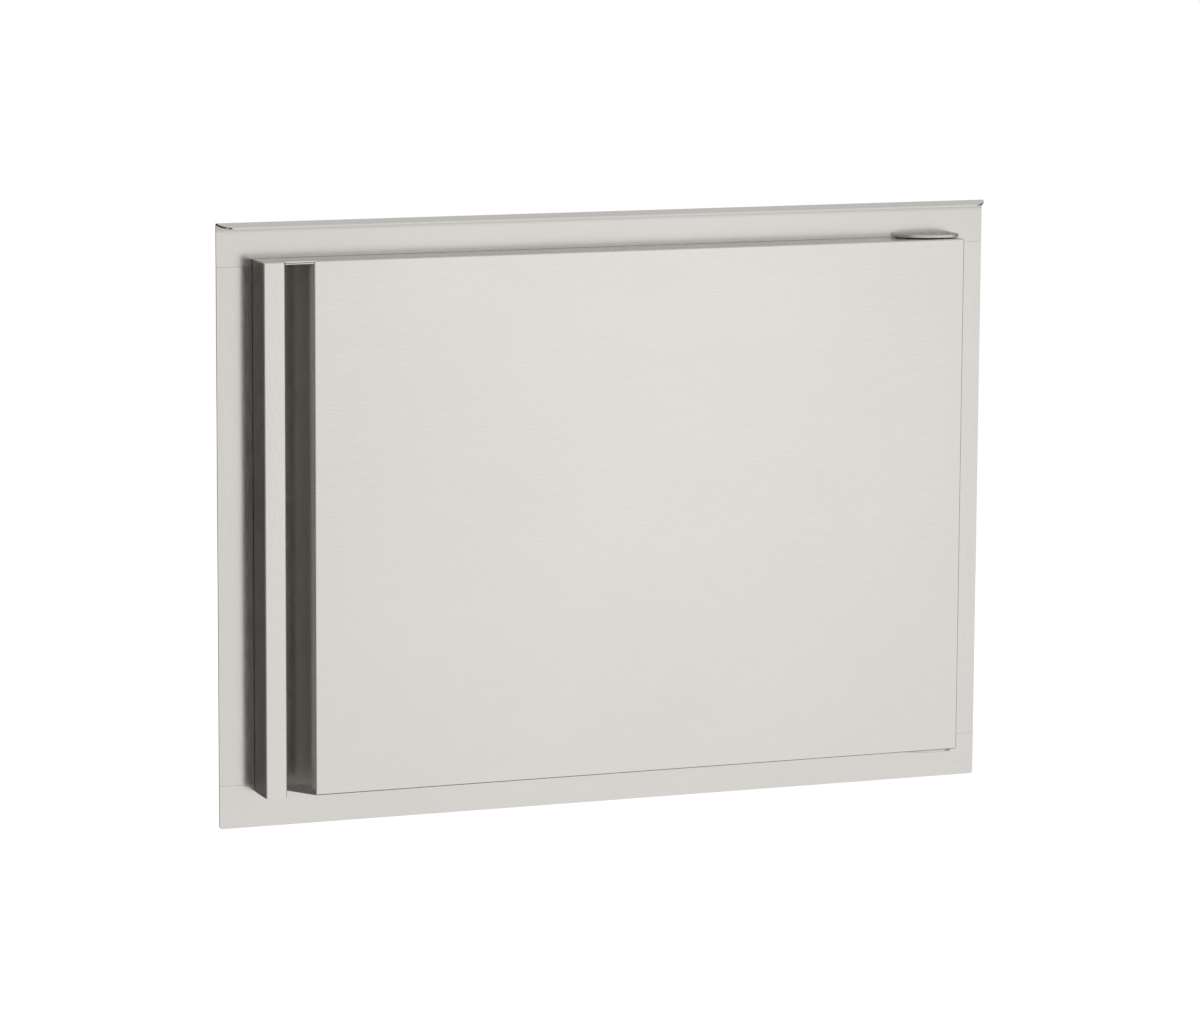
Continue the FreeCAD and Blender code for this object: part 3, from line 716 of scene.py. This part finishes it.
def folded_rail(lip):
    """Upper rail from its flange's back: the middle folds into the jamb and the ends reach down to the stiles."""
    top = CREST if lip else HALF_HEIGHT
    fold_top, beyond = JAMB_Z + 0.8, HALF_WIDTH - JAMB_X
    piece = flat((JAMB_X, 0, JAMB_Z), (-2 * JAMB_X, 0, 0), (0, 0, top - JAMB_Z))
    extrude(on(z=JAMB_Z), (0, JAMB_DEPTH, 0))
    if lip:
        extrude(on(z=top), (0, LIP_FRONT, LIP_FRONT * LIP_SLOPE))
        round_fold(on(y=0, z=top), 2.0, 90 + math.degrees(LIP_ANGLE), 8)
    round_fold(on(y=0, z=JAMB_Z), 0.8)
    for side in (-1, 1):
        extrude(on(x=side * JAMB_X, y=(LIP_FRONT, 0), z=(fold_top, top)), (side * beyond, 0, 0))
        extrude(on(x=(JAMB_X, HALF_WIDTH) if side > 0 else (-HALF_WIDTH, -JAMB_X), z=fold_top),
                (0, 0, OPENING_Z - fold_top))
    for end in (-HALF_WIDTH, HALF_WIDTH):
        if lip:
            round_corner(on(x=end, y=LIP_FRONT), LIP_CORNER, segments=12)
        else:
            round_corner(on(x=end, z=top), 2.0)
    thicken(piece, FRAME_SHEET)
    for x in TENONS:
        half = TENON_HALF + 0.05
        slot = box_between((x - half, -3, TAB_Z - 0.05), (x + half, 2, TAB_Z + TAB_SHEET + 0.05))
        combine(piece, slot, "DIFFERENCE")
    return piece


def model_rails():
    """Upper rail with the drip lip, and lower rail."""
    upper = folded_rail(True)
    finish(upper, "frame_top_rail", "frame", STEEL["rail"])
    lower = folded_rail(False)
    bottom = mirrored_copy(lower, "Z")
    bpy.data.objects.remove(lower)
    finish(bottom, "frame_bottom_rail", "frame", STEEL["sill"])


def model_stiles():
    """Both stiles: flange and jamb, with the fixing holes; the left one also takes the catch's screws."""
    left = flat((-JAMB_X, 0, -OPENING_Z), (JAMB_X - HALF_WIDTH, 0, 0), (0, 0, 2 * OPENING_Z))
    extrude(on(x=-JAMB_X), (0, JAMB_DEPTH, 0))
    round_fold(on(x=-JAMB_X, y=0), 0.8)
    thicken(left, FRAME_SHEET)
    for z in (-FIXING_Z, FIXING_Z):
        drill(left, FIXING_RADIUS, (-JAMB_X - 3, FIXING_Y, z), (-OPENING_X + 3, FIXING_Y, z))
    right = mirrored_copy(left, "X")
    for z in (-CATCH_SCREW_Z, CATCH_SCREW_Z):
        drill(left, 1.72, (-JAMB_X - 3, CATCH_SCREW_Y, z), (-OPENING_X + 3, CATCH_SCREW_Y, z))
    finish(left, "frame_left_stile", "frame", STEEL["stile"])
    finish(right, "frame_right_stile", "frame", STEEL["hinge_stile"])


def model_tabs():
    """Hinge tabs above and below the door, each a cut plate with two tenons through the flange."""
    low, top = TAB_Z, TAB_Z + TAB_SHEET
    upper = flat((TAB_LEFT, TAB_FRONT, top), (TAB_RIGHT - TAB_LEFT, 0, 0), (0, -FRAME_SHEET - TAB_FRONT, 0))
    for x in TENONS:
        for edge in (x - TENON_HALF, x + TENON_HALF):
            split((edge, 0, 0), (1, 0, 0))
    for x in TENONS:
        extrude(on(x=(x - TENON_HALF, x + TENON_HALF), y=-FRAME_SHEET), (0, FRAME_SHEET, 0))
    shoulder, slope_end = Vector((TAB_LEFT, TAB_SHOULDER, top)), Vector((TAB_RIGHT - 30.5, TAB_FRONT, top))
    along = slope_end - shoulder
    split(shoulder, (-along.y, along.x, 0), clear_inner=True)
    pick(any_of(*[on(x=x + side, y=(TAB_FRONT, -FRAME_SHEET)) for x in TENONS for side in (-TENON_HALF, TENON_HALF)]))
    bpy.ops.mesh.dissolve_edges(use_verts=True)
    slope = math.degrees(math.atan2(-along.y, along.x))
    round_corner(on(x=TAB_RIGHT, y=TAB_FRONT), 10.0, 90, 16)
    round_corner(on(x=slope_end.x, y=TAB_FRONT), 28.0, slope, 12)
    round_corner(on(x=TAB_LEFT, y=TAB_SHOULDER), 2.0, 90 - slope, 6)
    thicken(upper, TAB_SHEET)
    drill(upper, BORE_RADIUS, PIVOT + Vector((0, 0, low - 3)), PIVOT + Vector((0, 0, top + 3)))
    lower = mirrored_copy(upper, "Z")
    finish(upper, "upper_hinge_tab", "frame", STEEL["tab"], 0.2)
    finish(lower, "lower_hinge_tab", "frame", STEEL["tab"], 0.2)


def model_front_skin():
    """Face of the door, its returns and the leaning wall of the pull recess."""
    piece = block((WALL_FRONT, DOOR_FRONT, -DOOR_Z), (DOOR_X, DOOR_BACK, DOOR_Z))
    shift(on(x=WALL_FRONT, y=DOOR_BACK), (WALL_LEAN * (DOOR_BACK - DOOR_FRONT), 0, 0))
    split((DOOR_X, RELIEF_SIDE_Y, 0), (DOOR_BACK - RELIEF_SIDE_Y, DOOR_X - RELIEF_BACK_X, 0),
          clear_outer=True, use_fill=True)
    remove_faces(on(y=DOOR_BACK))
    foot_y = LINER_FRONT - 4
    foot_x = WALL_FRONT + WALL_LEAN * (foot_y - DOOR_FRONT)
    split((0, foot_y, 0), (0, 1, 0), on(x=(-242, WALL_FRONT)))
    remove_faces(on(x=(-242, foot_x), y=(foot_y, DOOR_BACK)))
    lean = math.degrees(math.atan(-WALL_LEAN))
    round_fold(on(x=WALL_FRONT, y=DOOR_FRONT), 1.0, 90 - lean)
    round_fold(any_of(on(x=(WALL_FRONT, DOOR_X), y=DOOR_FRONT, z=DOOR_Z), on(y=DOOR_FRONT, z=-DOOR_Z),
                      on(x=DOOR_X, y=DOOR_FRONT), on(x=DOOR_X, z=DOOR_Z), on(x=DOOR_X, z=-DOOR_Z)), 1.0)
    thicken(piece, DOOR_SHEET)
    for end in (-1, 1):
        drill(piece, BUSH_HOLE, PIVOT + Vector((0, 0, 180 * end)), PIVOT + Vector((0, 0, 190 * end)))
    end = DOOR_Z - DOOR_SHEET
    foot = flat((foot_x, foot_y, -end), (0, 0, 2 * end), (WALL_FOOT - foot_x, LINER_FRONT - foot_y, 0))
    extrude(on(x=WALL_FOOT, y=LINER_FRONT), (12, 0, 0))
    round_fold(on(x=WALL_FOOT, y=LINER_FRONT), 1.0, 90 + lean, 8)
    thicken(foot, DOOR_SHEET)
    for x, z in FOOT_RIVETS:
        drill(foot, RIVET_HOLE, (x, LINER_FRONT - 3, z), (x, LINER_FRONT + 1, z))
    roof = block((STRIP_EDGE, DOOR_FRONT, DOOR_Z - DOOR_SHEET), (WALL_FRONT, DOOR_BACK, DOOR_Z))
    shift(on(x=WALL_FRONT, y=DOOR_BACK), (WALL_LEAN * (DOOR_BACK - DOOR_FRONT), 0, 0))
    to_mode("OBJECT")
    together(piece, roof, foot)
    finish(piece, "door_front_skin", "door", STEEL["face"], 0.1)


def model_handle_strip():
    """Post at the door's left edge, closed at the top, with a short return inside the recess."""
    piece = block((-DOOR_X, DOOR_FRONT, -DOOR_Z), (STRIP_EDGE, DOOR_BACK, DOOR_Z))
    remove_faces(on(y=DOOR_BACK))
    remove_faces(on(z=-DOOR_Z))
    split((0, DOOR_FRONT + 5, 0), (0, 1, 0), on(x=STRIP_EDGE))
    remove_faces(on(x=STRIP_EDGE, y=(DOOR_FRONT + 5, DOOR_BACK)))
    round_fold(any_of(on(x=-DOOR_X, y=DOOR_FRONT), on(x=STRIP_EDGE, y=DOOR_FRONT), on(y=DOOR_FRONT, z=DOOR_Z),
                      on(x=-DOOR_X, z=DOOR_Z)), 1.0)
    thicken(piece, DOOR_SHEET)
    finish(piece, "door_handle_strip", "door", STEEL["post"], 0.1)


def model_channel_cap():
    """Plate that closes the top of the recess, folded down along the liner."""
    left, top = STRIP_EDGE + 0.05, DOOR_Z - DOOR_SHEET - 0.3
    piece = flat((left, DOOR_FRONT, top), (WALL_FRONT - 0.05 - left, 0, 0), (0, LINER_FRONT - DOOR_FRONT, 0))
    shift(on(x=WALL_FRONT - 0.05, y=LINER_FRONT), (WALL_FOOT - WALL_FRONT, 0, 0))
    extrude(on(y=LINER_FRONT), (0, 0, -8))
    round_fold(on(y=LINER_FRONT, z=top), 1.0)
    thicken(piece, DOOR_SHEET)
    finish(piece, "handle_channel_top_cap", "door", STEEL["cap"], 0.25)


def model_liner():
    """Panel that closes the door's back, its flanges tucked inside the returns."""
    left, corner, half = -259.4, 252.746, 183.7
    rim_left, rim_right, reach, bend = -227.45, 226.35, 8.0, 1.0
    piece = flat((rim_right, DOOR_BACK, -half), (rim_left - rim_right, 0, 0), (0, 0, 2 * half))
    for z in (-half, half):
        extrude(on(y=DOOR_BACK, z=z), (0, -reach, 0))
        round_fold(on(y=DOOR_BACK, z=z), bend)
    for rim, end in ((rim_left, left), (rim_right, corner)):
        extrude(on(x=rim, y=DOOR_BACK, z=(bend - half, half - bend)), (end - rim, 0, 0))
        for side in (-1, 1):
            extrude(on(x=(min(rim, end), max(rim, end)), y=DOOR_BACK, z=side * (half - bend)), (0, 0, side * bend))
    extrude(on(x=left), (0, -reach, 0))
    round_fold(on(x=left, y=DOOR_BACK), bend)
    slant, slant_angle = (5.582, -3.819, 0), 34.4
    extrude(on(x=corner), slant)
    round_fold(on(x=corner, y=DOOR_BACK), bend, slant_angle)
    thicken(piece, DOOR_SHEET)
    sides, ends = (235.407, 245.993), (99.15, 112.35)
    slot = block((sides[0], -6, ends[0]), (sides[1], 0, ends[1]))
    round_fold(any_of(*[on(x=x, z=z) for x in sides for z in ends]), 3.0)
    to_mode("OBJECT")
    combine(piece, slot, "DIFFERENCE")
    for x, z in FOOT_RIVETS + BRACKET_RIVETS + STRIKE_RIVETS:
        drill(piece, RIVET_HOLE, (x, DOOR_BACK - 3, z), (x, DOOR_BACK + 3, z))
    finish(piece, "door_inner_liner", "door", STEEL["liner"], 0.1)


def model_brackets():
    """Hinge brackets inside the door: the upper one has two ears, the lower one has one."""
    front, top, width = PIVOT.y - 6, DOOR_Z - DOOR_SHEET, 30.0
    right = PIVOT.x + 6
    left, shoulder_y, web_right = right - width, PIVOT.y + 3, PIVOT.x - 1.5
    cut = Vector((web_right - right, LINER_FRONT - shoulder_y, 0))
    shoulder = math.degrees(math.atan2(-cut.x, cut.y))
    made = []
    for height, ears in ((55.0, 2), (28.0, 1)):
        piece = flat((left, front, top), (width, 0, 0), (0, LINER_FRONT - front, 0))
        moves = [(0, 0, -height), (0, front - LINER_FRONT, 0)]
        extrude(on(y=LINER_FRONT, z=top), *moves[:ears])
        split((right, shoulder_y, 0), (cut.y, -cut.x, 0), clear_outer=True)
        for z in (top, top - height)[:ears]:
            round_corner(on(x=left, y=front, z=z), 2.0, 90, 5)
            round_corner(on(x=right, y=front, z=z), 6.0, 90, 10)
            round_corner(on(x=right, y=shoulder_y, z=z), 2.0, shoulder, 4)
            round_fold(on(y=LINER_FRONT, z=z), 2.4)
        thicken(piece, 2.0)
        drill(piece, BUSH_HOLE, PIVOT + Vector((0, 0, top - 4)), PIVOT + Vector((0, 0, top + 2)))
        if ears == 2:
            ear = PIVOT + Vector((0, 0, top - height))
            drill(piece, BORE_RADIUS, ear - Vector((0, 0, 2)), ear + Vector((0, 0, 4)))
        made.append(piece)
    upper, lower = made
    low = mirrored_copy(lower, "Z")
    bpy.data.objects.remove(lower)
    for x, z in BRACKET_RIVETS:
        drill(upper if z > 0 else low, RIVET_HOLE, (x, LINER_FRONT - 4, z), (x, LINER_FRONT + 2, z))
    finish(upper, "upper_hinge_bracket", "door", STEEL["bracket"], 0.2)
    finish(low, "lower_hinge_bracket", "door", STEEL["bracket"], 0.2)


def model_bushes():
    """Bushes of the door's top and bottom returns, each with a collar under its bracket's ear."""
    upper = pivot_rod(4.5, DOOR_Z - 7, DOOR_Z)
    combine(upper, pivot_rod(6.5, DOOR_Z - 4.1, DOOR_Z - 2.9), "UNION")
    combine(upper, pivot_rod(BORE_RADIUS, 170, 190), "DIFFERENCE")
    lower = mirrored_copy(upper, "Z")
    finish(upper, "upper_hinge_bush", "door", PLASTIC["bush"], 0.25)
    finish(lower, "lower_hinge_bush", "door", PLASTIC["bush"], 0.25)


def model_stud_and_washer():
    """Headed stud in the lower tab, and the washer that carries the door's weight."""
    tip, seat = 8 - DOOR_Z, -TAB_Z - TAB_SHEET
    stud = rod(PIN_RADIUS, PIVOT + Vector((0, 0, seat - 1.2)), PIVOT + Vector((0, 0, tip)))
    pick(on(z=tip))
    bpy.ops.mesh.bevel(offset=0.6, segments=1, affect="EDGES")
    to_mode("OBJECT")
    combine(stud, pivot_rod(4.5, seat - 1.2, seat), "UNION")
    finish(stud, "lower_hinge_pin", "frame", STEEL["pin"], 0.15)
    washer = pivot_rod(6.0, -TAB_Z, -DOOR_Z)
    combine(washer, pivot_rod(BORE_RADIUS, -190, -180), "DIFFERENCE")
    finish(washer, "hinge_thrust_washer", "frame", PLASTIC["washer"], 0.2)


def model_upper_pin():
    """Sprung pin, bent at its foot into the pull that comes out of the door's back, and its clip."""
    bend, pull_z, tip = 8.0, 108.75, TAB_Z + TAB_SHEET - 0.2
    groove, shoulder, groove_radius = CLIP_Z, CLIP_Z + 1.2, 2.5
    out = Vector((-math.sin(math.radians(45)), math.cos(math.radians(45)), 0))
    foot = pull_z + bend
    piece = rod(PIN_RADIUS, PIVOT + Vector((0, 0, foot)), PIVOT + Vector((0, 0, tip)), 40)
    remove_faces(on(z=foot))
    pick(on(z=foot))
    bpy.ops.mesh.spin(steps=12, angle=math.radians(90), center=PIVOT + out * bend + Vector((0, 0, foot)),
                      axis=Vector((0, 0, 1)).cross(out))
    reach = (DOOR_BACK + 13.0 - PIVOT.y) / math.cos(math.radians(45))
    bpy.ops.mesh.extrude_region_move(TRANSFORM_OT_translate={"value": out * (reach - bend)})
    bpy.ops.mesh.edge_face_add()
    bpy.ops.mesh.bevel(offset=0.6, segments=1, affect="EDGES")
    pick(on(z=tip))
    bpy.ops.mesh.bevel(offset=0.6, segments=1, affect="EDGES")
    bpy.ops.mesh.select_all(action="SELECT")
    bpy.ops.mesh.normals_make_consistent(inside=False)
    for z in (groove, shoulder):
        split((0, 0, z), (0, 0, 1))
    pick(on(z=(groove, shoulder)), "FACE")
    bpy.ops.mesh.extrude_region_move(TRANSFORM_OT_translate={"value": (0, 0, 0)})
    share = groove_radius / PIN_RADIUS
    bpy.ops.transform.resize(value=(share, share, 1), center_override=PIVOT + Vector((0, 0, groove + 0.6)))
    finish(piece, "upper_hinge_pin", "release_pin", STEEL["pin"], 0)
    clip = pivot_rod(6.0, groove, shoulder)
    combine(clip, pivot_rod(groove_radius + 0.02, 170, 180), "DIFFERENCE")
    combine(clip, box_between((PIVOT.x - 2.2, PIVOT.y - 8, 170), (PIVOT.x + 2.2, PIVOT.y, 180)), "DIFFERENCE")
    finish(clip, "hinge_pin_clip", "release_pin", STEEL["spring"], 0.2)


def model_spring():
    """Spring between the bracket's lower ear and the clip, which presses it as the pin is pulled down."""
    piece = coil(4.6, 0.5, 12, 9, SPRING_FOOT, CLIP_Z)
    to_mode("EDIT")
    bpy.ops.mesh.select_all(action="SELECT")
    bpy.ops.transform.translate(value=(PIVOT.x, PIVOT.y, 0))
    finish(piece, "hinge_pin_spring", "door", STEEL["spring"], 0)
    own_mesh(piece)


def model_catch():
    """Magnetic catch on the left jamb: case with ribbed ears, magnet, pole plates and screws."""
    jamb, front, back, middle = -OPENING_X, CATCH_FRONT, CATCH_BACK, -249.25
    case = block((jamb, front, -14), (jamb + 13, back, 14))
    pick(any_of(on(x=jamb + 13, y=back), on(x=jamb + 13, z=14), on(x=jamb + 13, z=-14), on(y=back, z=14),
                on(y=back, z=-14)))
    bpy.ops.mesh.bevel(offset=0.8, segments=4, affect="EDGES")
    to_mode("OBJECT")
    ears = block((jamb, front, -23), (jamb + 3, back, 23))
    round_fold(any_of(*[on(y=y, z=z) for y in (front, back) for z in (-23, 23)]), 3.0)
    to_mode("OBJECT")
    combine(case, ears, "UNION")
    for side in (-1, 1):
        for y in (front + 1.4, back - 2.4):
            near, far = sorted((13.5 * side, 18.5 * side))
            rib = block((jamb + 2.5, y, near), (jamb + 9, y + 1.0, far))
            shift(on(x=jamb + 9, z=18.5 * side), (-5.8, 0, 0))
            to_mode("OBJECT")
            combine(case, rib, "UNION")
    pocket = box_between((middle - 4.52, front - 1, -12.02), (middle + 4.52, front + 14.02, 12.02))
    combine(case, pocket, "DIFFERENCE")
    for z in (-CATCH_SCREW_Z, CATCH_SCREW_Z):
        drill(case, 1.75, (jamb - 1, CATCH_SCREW_Y, z), (jamb + 5, CATCH_SCREW_Y, z))
    finish(case, "magnet_catch_case", "frame", PLASTIC["catch"], 0.15)
    magnet = box_between((middle - 3, front, -12), (middle + 3, front + 14, 12))
    finish(magnet, "catch_magnet", "frame", PLASTIC["magnet"], 0.3)
    plates = [box_between((middle + low, -0.7, -12), (middle + high, front + 14, 12))
              for low, high in ((-4.5, -3.0), (3.0, 4.5))]
    together(*plates)
    finish(plates[0], "catch_pole_plates", "frame", STEEL["plated"], 0.2)


def model_catch_screws():
    """Pan-head screws with a cross recess and a threaded shank, modelled once along Z and laid along X."""
    made = rod(3.2, (0, 0, 0), (0, 0, 2), 40)
    pick(on(z=2))
    bpy.ops.mesh.bevel(offset=1.0, segments=5, affect="EDGES")
    to_mode("OBJECT")
    for x, y in ((0.4, 1.8), (1.8, 0.4)):
        combine(made, box_between((-x, -y, 0.9), (x, y, 3)), "DIFFERENCE")
    core = rod(1.3, (0, 0, -5.9), (0, 0, 0.3), 24)
    pick(on(z=-5.9), "FACE")
    bpy.ops.mesh.extrude_region_move(TRANSFORM_OT_translate={"value": (0, 0, -0.6)})
    bpy.ops.transform.resize(value=(0.25, 0.25, 1))
    to_mode("OBJECT")
    thread = coil(1.3, 0.4, 3, 7, -5.8, -0.2, 20)
    together(made, core, thread)
    take(made)
    made.rotation_mode = "XYZ"
    made.rotation_euler = (0, math.radians(90), 0)
    made.location = (-OPENING_X + 3, CATCH_SCREW_Y, -CATCH_SCREW_Z)
    settle()
    bpy.ops.object.duplicate()
    second = bpy.context.object
    second.location = (0, 0, 2 * CATCH_SCREW_Z)
    settle()
    together(made, second)
    finish(made, "catch_screws", "frame", STEEL["plated"], 0)


def model_strike():
    """Steel plate on the door's back that the magnet holds."""
    plate = block((-254.5, DOOR_BACK, -22), (-242.5, DOOR_BACK + 1.5, 22))
    round_fold(any_of(*[on(x=x, z=z) for x in (-254.5, -242.5) for z in (-22, 22)]), 2.0)
    to_mode("OBJECT")
    for x, z in STRIKE_RIVETS:
        drill(plate, RIVET_HOLE, (x, DOOR_BACK - 2, z), (x, DOOR_BACK + 3, z))
    finish(plate, "strike_plate", "door", STEEL["plated"], 0.2)


def rivet_group(places, back, grip, node):
    """Blind rivets: one is modelled, with its dome, the dimple left by the mandrel, and its bulb, then copied."""
    dome = (3.2 ** 2 + 1) / 2
    bpy.ops.mesh.primitive_uv_sphere_add(segments=40, ring_count=64, radius=dome, location=(0, 0, 1 - dome))
    first = bpy.context.object
    settle()
    to_mode("EDIT")
    split((0, 0, 0), (0, 0, 1), clear_inner=True, use_fill=True)
    to_mode("OBJECT")
    combine(first, object_rod(0.95, 0.3, 3), "DIFFERENCE")
    mandrel = rod(0.85, (0, 0, 0.2), (0, 0, 0.55), 20)
    pick(on(z=0.55))
    bpy.ops.mesh.bevel(offset=0.2, segments=3, affect="EDGES")
    to_mode("OBJECT")
    shank = object_rod(1.6, -grip, 0.1)
    bulb = rod(2.3, (0, 0, -grip - 1.5), (0, 0, -grip), 32)
    pick(on(z=-grip - 1.5))
    bpy.ops.mesh.bevel(offset=0.75, segments=4, affect="EDGES")
    to_mode("OBJECT")
    together(first, mandrel, shank, bulb)
    first.rotation_euler = (math.radians(-90), 0, 0)
    take(first)
    settle()
    copies = []
    for x, z in places:
        take(first)
        bpy.ops.object.duplicate()
        copy = bpy.context.object
        copy.location = (x, back, z)
        settle()
        copies.append(copy)
    bpy.data.objects.remove(first)
    together(*copies)
    finish(copies[0], node, "door", STEEL["rivet"], 0)


make_camera()
make_world()
make_floor()

# Cards: azimuth, elevation, half width and half height in degrees, then the level
card("card_behind_left", -28, -10, 38, 28, 0.06)
card("card_left", -92, -13, 37, 34, 0.13)
card("card_by_left_edge", -157, 0, 18, 49, 0.083, distance=0.36, seen_from=(-0.262, -0.01, -0.09))
card("card_right", 92, -9, 38, 34, 0.35)
card("card_glow", 158, -2.5, 17, 19, 0.27, solid=False, edge=0.0)
level_card("card_above", 1.2, 14.0, 0.45, 0.76, 13.0, 4.0)
level_card("card_below", -1.15, 1.4, 0.15, 0.15, 1.2, 0.8)

# Regions in metres, each with its change: painted shade on the flange under the drip lip, dark lines along the
# stiles' seams with the rails, painted light on the recess wall, and a rougher inside of the post in the recess
FLANGE_FRONT = [("Y", -0.0022, -0.0018), ("Y", -0.0005, -0.0009)]
# Painted shade: the flange's front just under the drip lip is coloured darker, where the lip shades it
PAINTED_SHADE_UNDER_LIP = (-0.24, [("Z", 0.2017, 0.2055)] + FLANGE_FRONT)
LEFT_SEAM = (-0.24, [("Z", 0.1789, 0.1794)] + FLANGE_FRONT)
RIGHT_SEAM = (-0.24, [("Z", 0.1791, 0.1795)] + FLANGE_FRONT)
# Painted light: the recess wall is coloured lighter, as bounced light would brighten it, and this fades out towards
# the wall's open foot
PAINTED_LIGHT_RECESS_WALL = (0.27, [("X", -0.2243, -0.2247), ("Y", -0.0269, -0.0265), ("Z", 0.1838, 0.1836),
                      ("Z", -0.18, -0.155)])
POST_INSIDE = (0.45, [("X", -0.2597, -0.2595), ("Y", -0.027, -0.0268), ("Z", 0.1839, 0.1837)])
DOOR_COLOUR = (0.62, 0.597, 0.568)
FRAME_COLOUR = (0.598, 0.576, 0.548)
STEEL = {
    # Painted shade and painted light: the upper rail is coloured a little darker than the lower rail, for how the
    # light falls on the top and bottom of the frame
    "rail": brushed_steel("upper_rail_steel_brushed", (0.606, 0.584, 0.555), "X", 0.22, painted_light_and_seam=PAINTED_SHADE_UNDER_LIP, lip=True),
    "sill": brushed_steel("lower_rail_steel_brushed", (0.618, 0.594, 0.567), "X", 0.22),
    "stile": brushed_steel("left_stile_steel_brushed", FRAME_COLOUR, "Z", 0.185, painted_light_and_seam=LEFT_SEAM),
    "hinge_stile": brushed_steel("right_stile_steel_brushed", (0.612, 0.59, 0.56), "Z", 0.185, painted_light_and_seam=RIGHT_SEAM),
    "face": brushed_steel("face_steel_brushed", DOOR_COLOUR, "X", painted_light_and_seam=PAINTED_LIGHT_RECESS_WALL),
    "post": brushed_steel("post_steel_brushed", DOOR_COLOUR, "Z", dull=POST_INSIDE),
    "cap": brushed_steel("cap_steel_brushed", DOOR_COLOUR, "X"),
    "liner": brushed_steel("liner_steel_brushed", (0.59, 0.575, 0.55), "X", 0.24, 1.4),
    "tab": brushed_steel("tab_steel_brushed", (0.6, 0.58, 0.55), "X", 0.34, 1.4),
    "bracket": brushed_steel("bracket_steel_brushed", (0.54, 0.525, 0.5), "Z", 0.28, 1.5),
    "pin": bare_metal("pin_steel_turned", (0.52, 0.51, 0.49), 0.2, "X", 2500, (0.46, 0.45, 0.43)),
    "spring": bare_metal("spring_wire_drawn", (0.36, 0.355, 0.35), 0.28, "Z", 3000, (0.28, 0.27, 0.26)),
    "plated": bare_metal("zinc_plated_steel", (0.52, 0.54, 0.56), 0.32, "Z", 1500, (0.56, 0.55, 0.48)),
    "rivet": bare_metal("rivet_aluminium", (0.66, 0.66, 0.67), 0.3, "Y", 1500, (0.58, 0.58, 0.59)),
}
PLASTIC = {
    "bush": moulded_plastic("bush_plastic_black", (0.03, 0.03, 0.034), 0.45, (0.07, 0.07, 0.075)),
    "washer": moulded_plastic("washer_plastic_white", (0.62, 0.6, 0.55), 0.42, (0.72, 0.7, 0.66)),
    "catch": moulded_plastic("catch_plastic_white", (0.64, 0.62, 0.57), 0.4, (0.75, 0.73, 0.69)),
    "magnet": bare_metal("magnet_ceramic_dark", (0.07, 0.068, 0.066), 0.6, "Z", 1200, (0.045, 0.044, 0.043), 0.0),
}

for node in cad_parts.values():
    for i in range(len(node.material_slots)):
        node.material_slots[i].material = STEEL["tab"]
model_rails()
model_stiles()
model_tabs()
model_front_skin()
model_handle_strip()
model_channel_cap()
model_liner()
model_brackets()
model_bushes()
model_stud_and_washer()
model_upper_pin()
model_spring()
model_catch()
model_catch_screws()
model_strike()
rivet_group(FOOT_RIVETS, DOOR_BACK, 1.8, "liner_rivets")
rivet_group(BRACKET_RIVETS, DOOR_BACK, 2.9, "hinge_bracket_rivets")
rivet_group(STRIKE_RIVETS, DOOR_BACK + 1.5, 2.4, "strike_plate_rivets")

bpy.context.scene.view_settings.view_transform = "Standard"
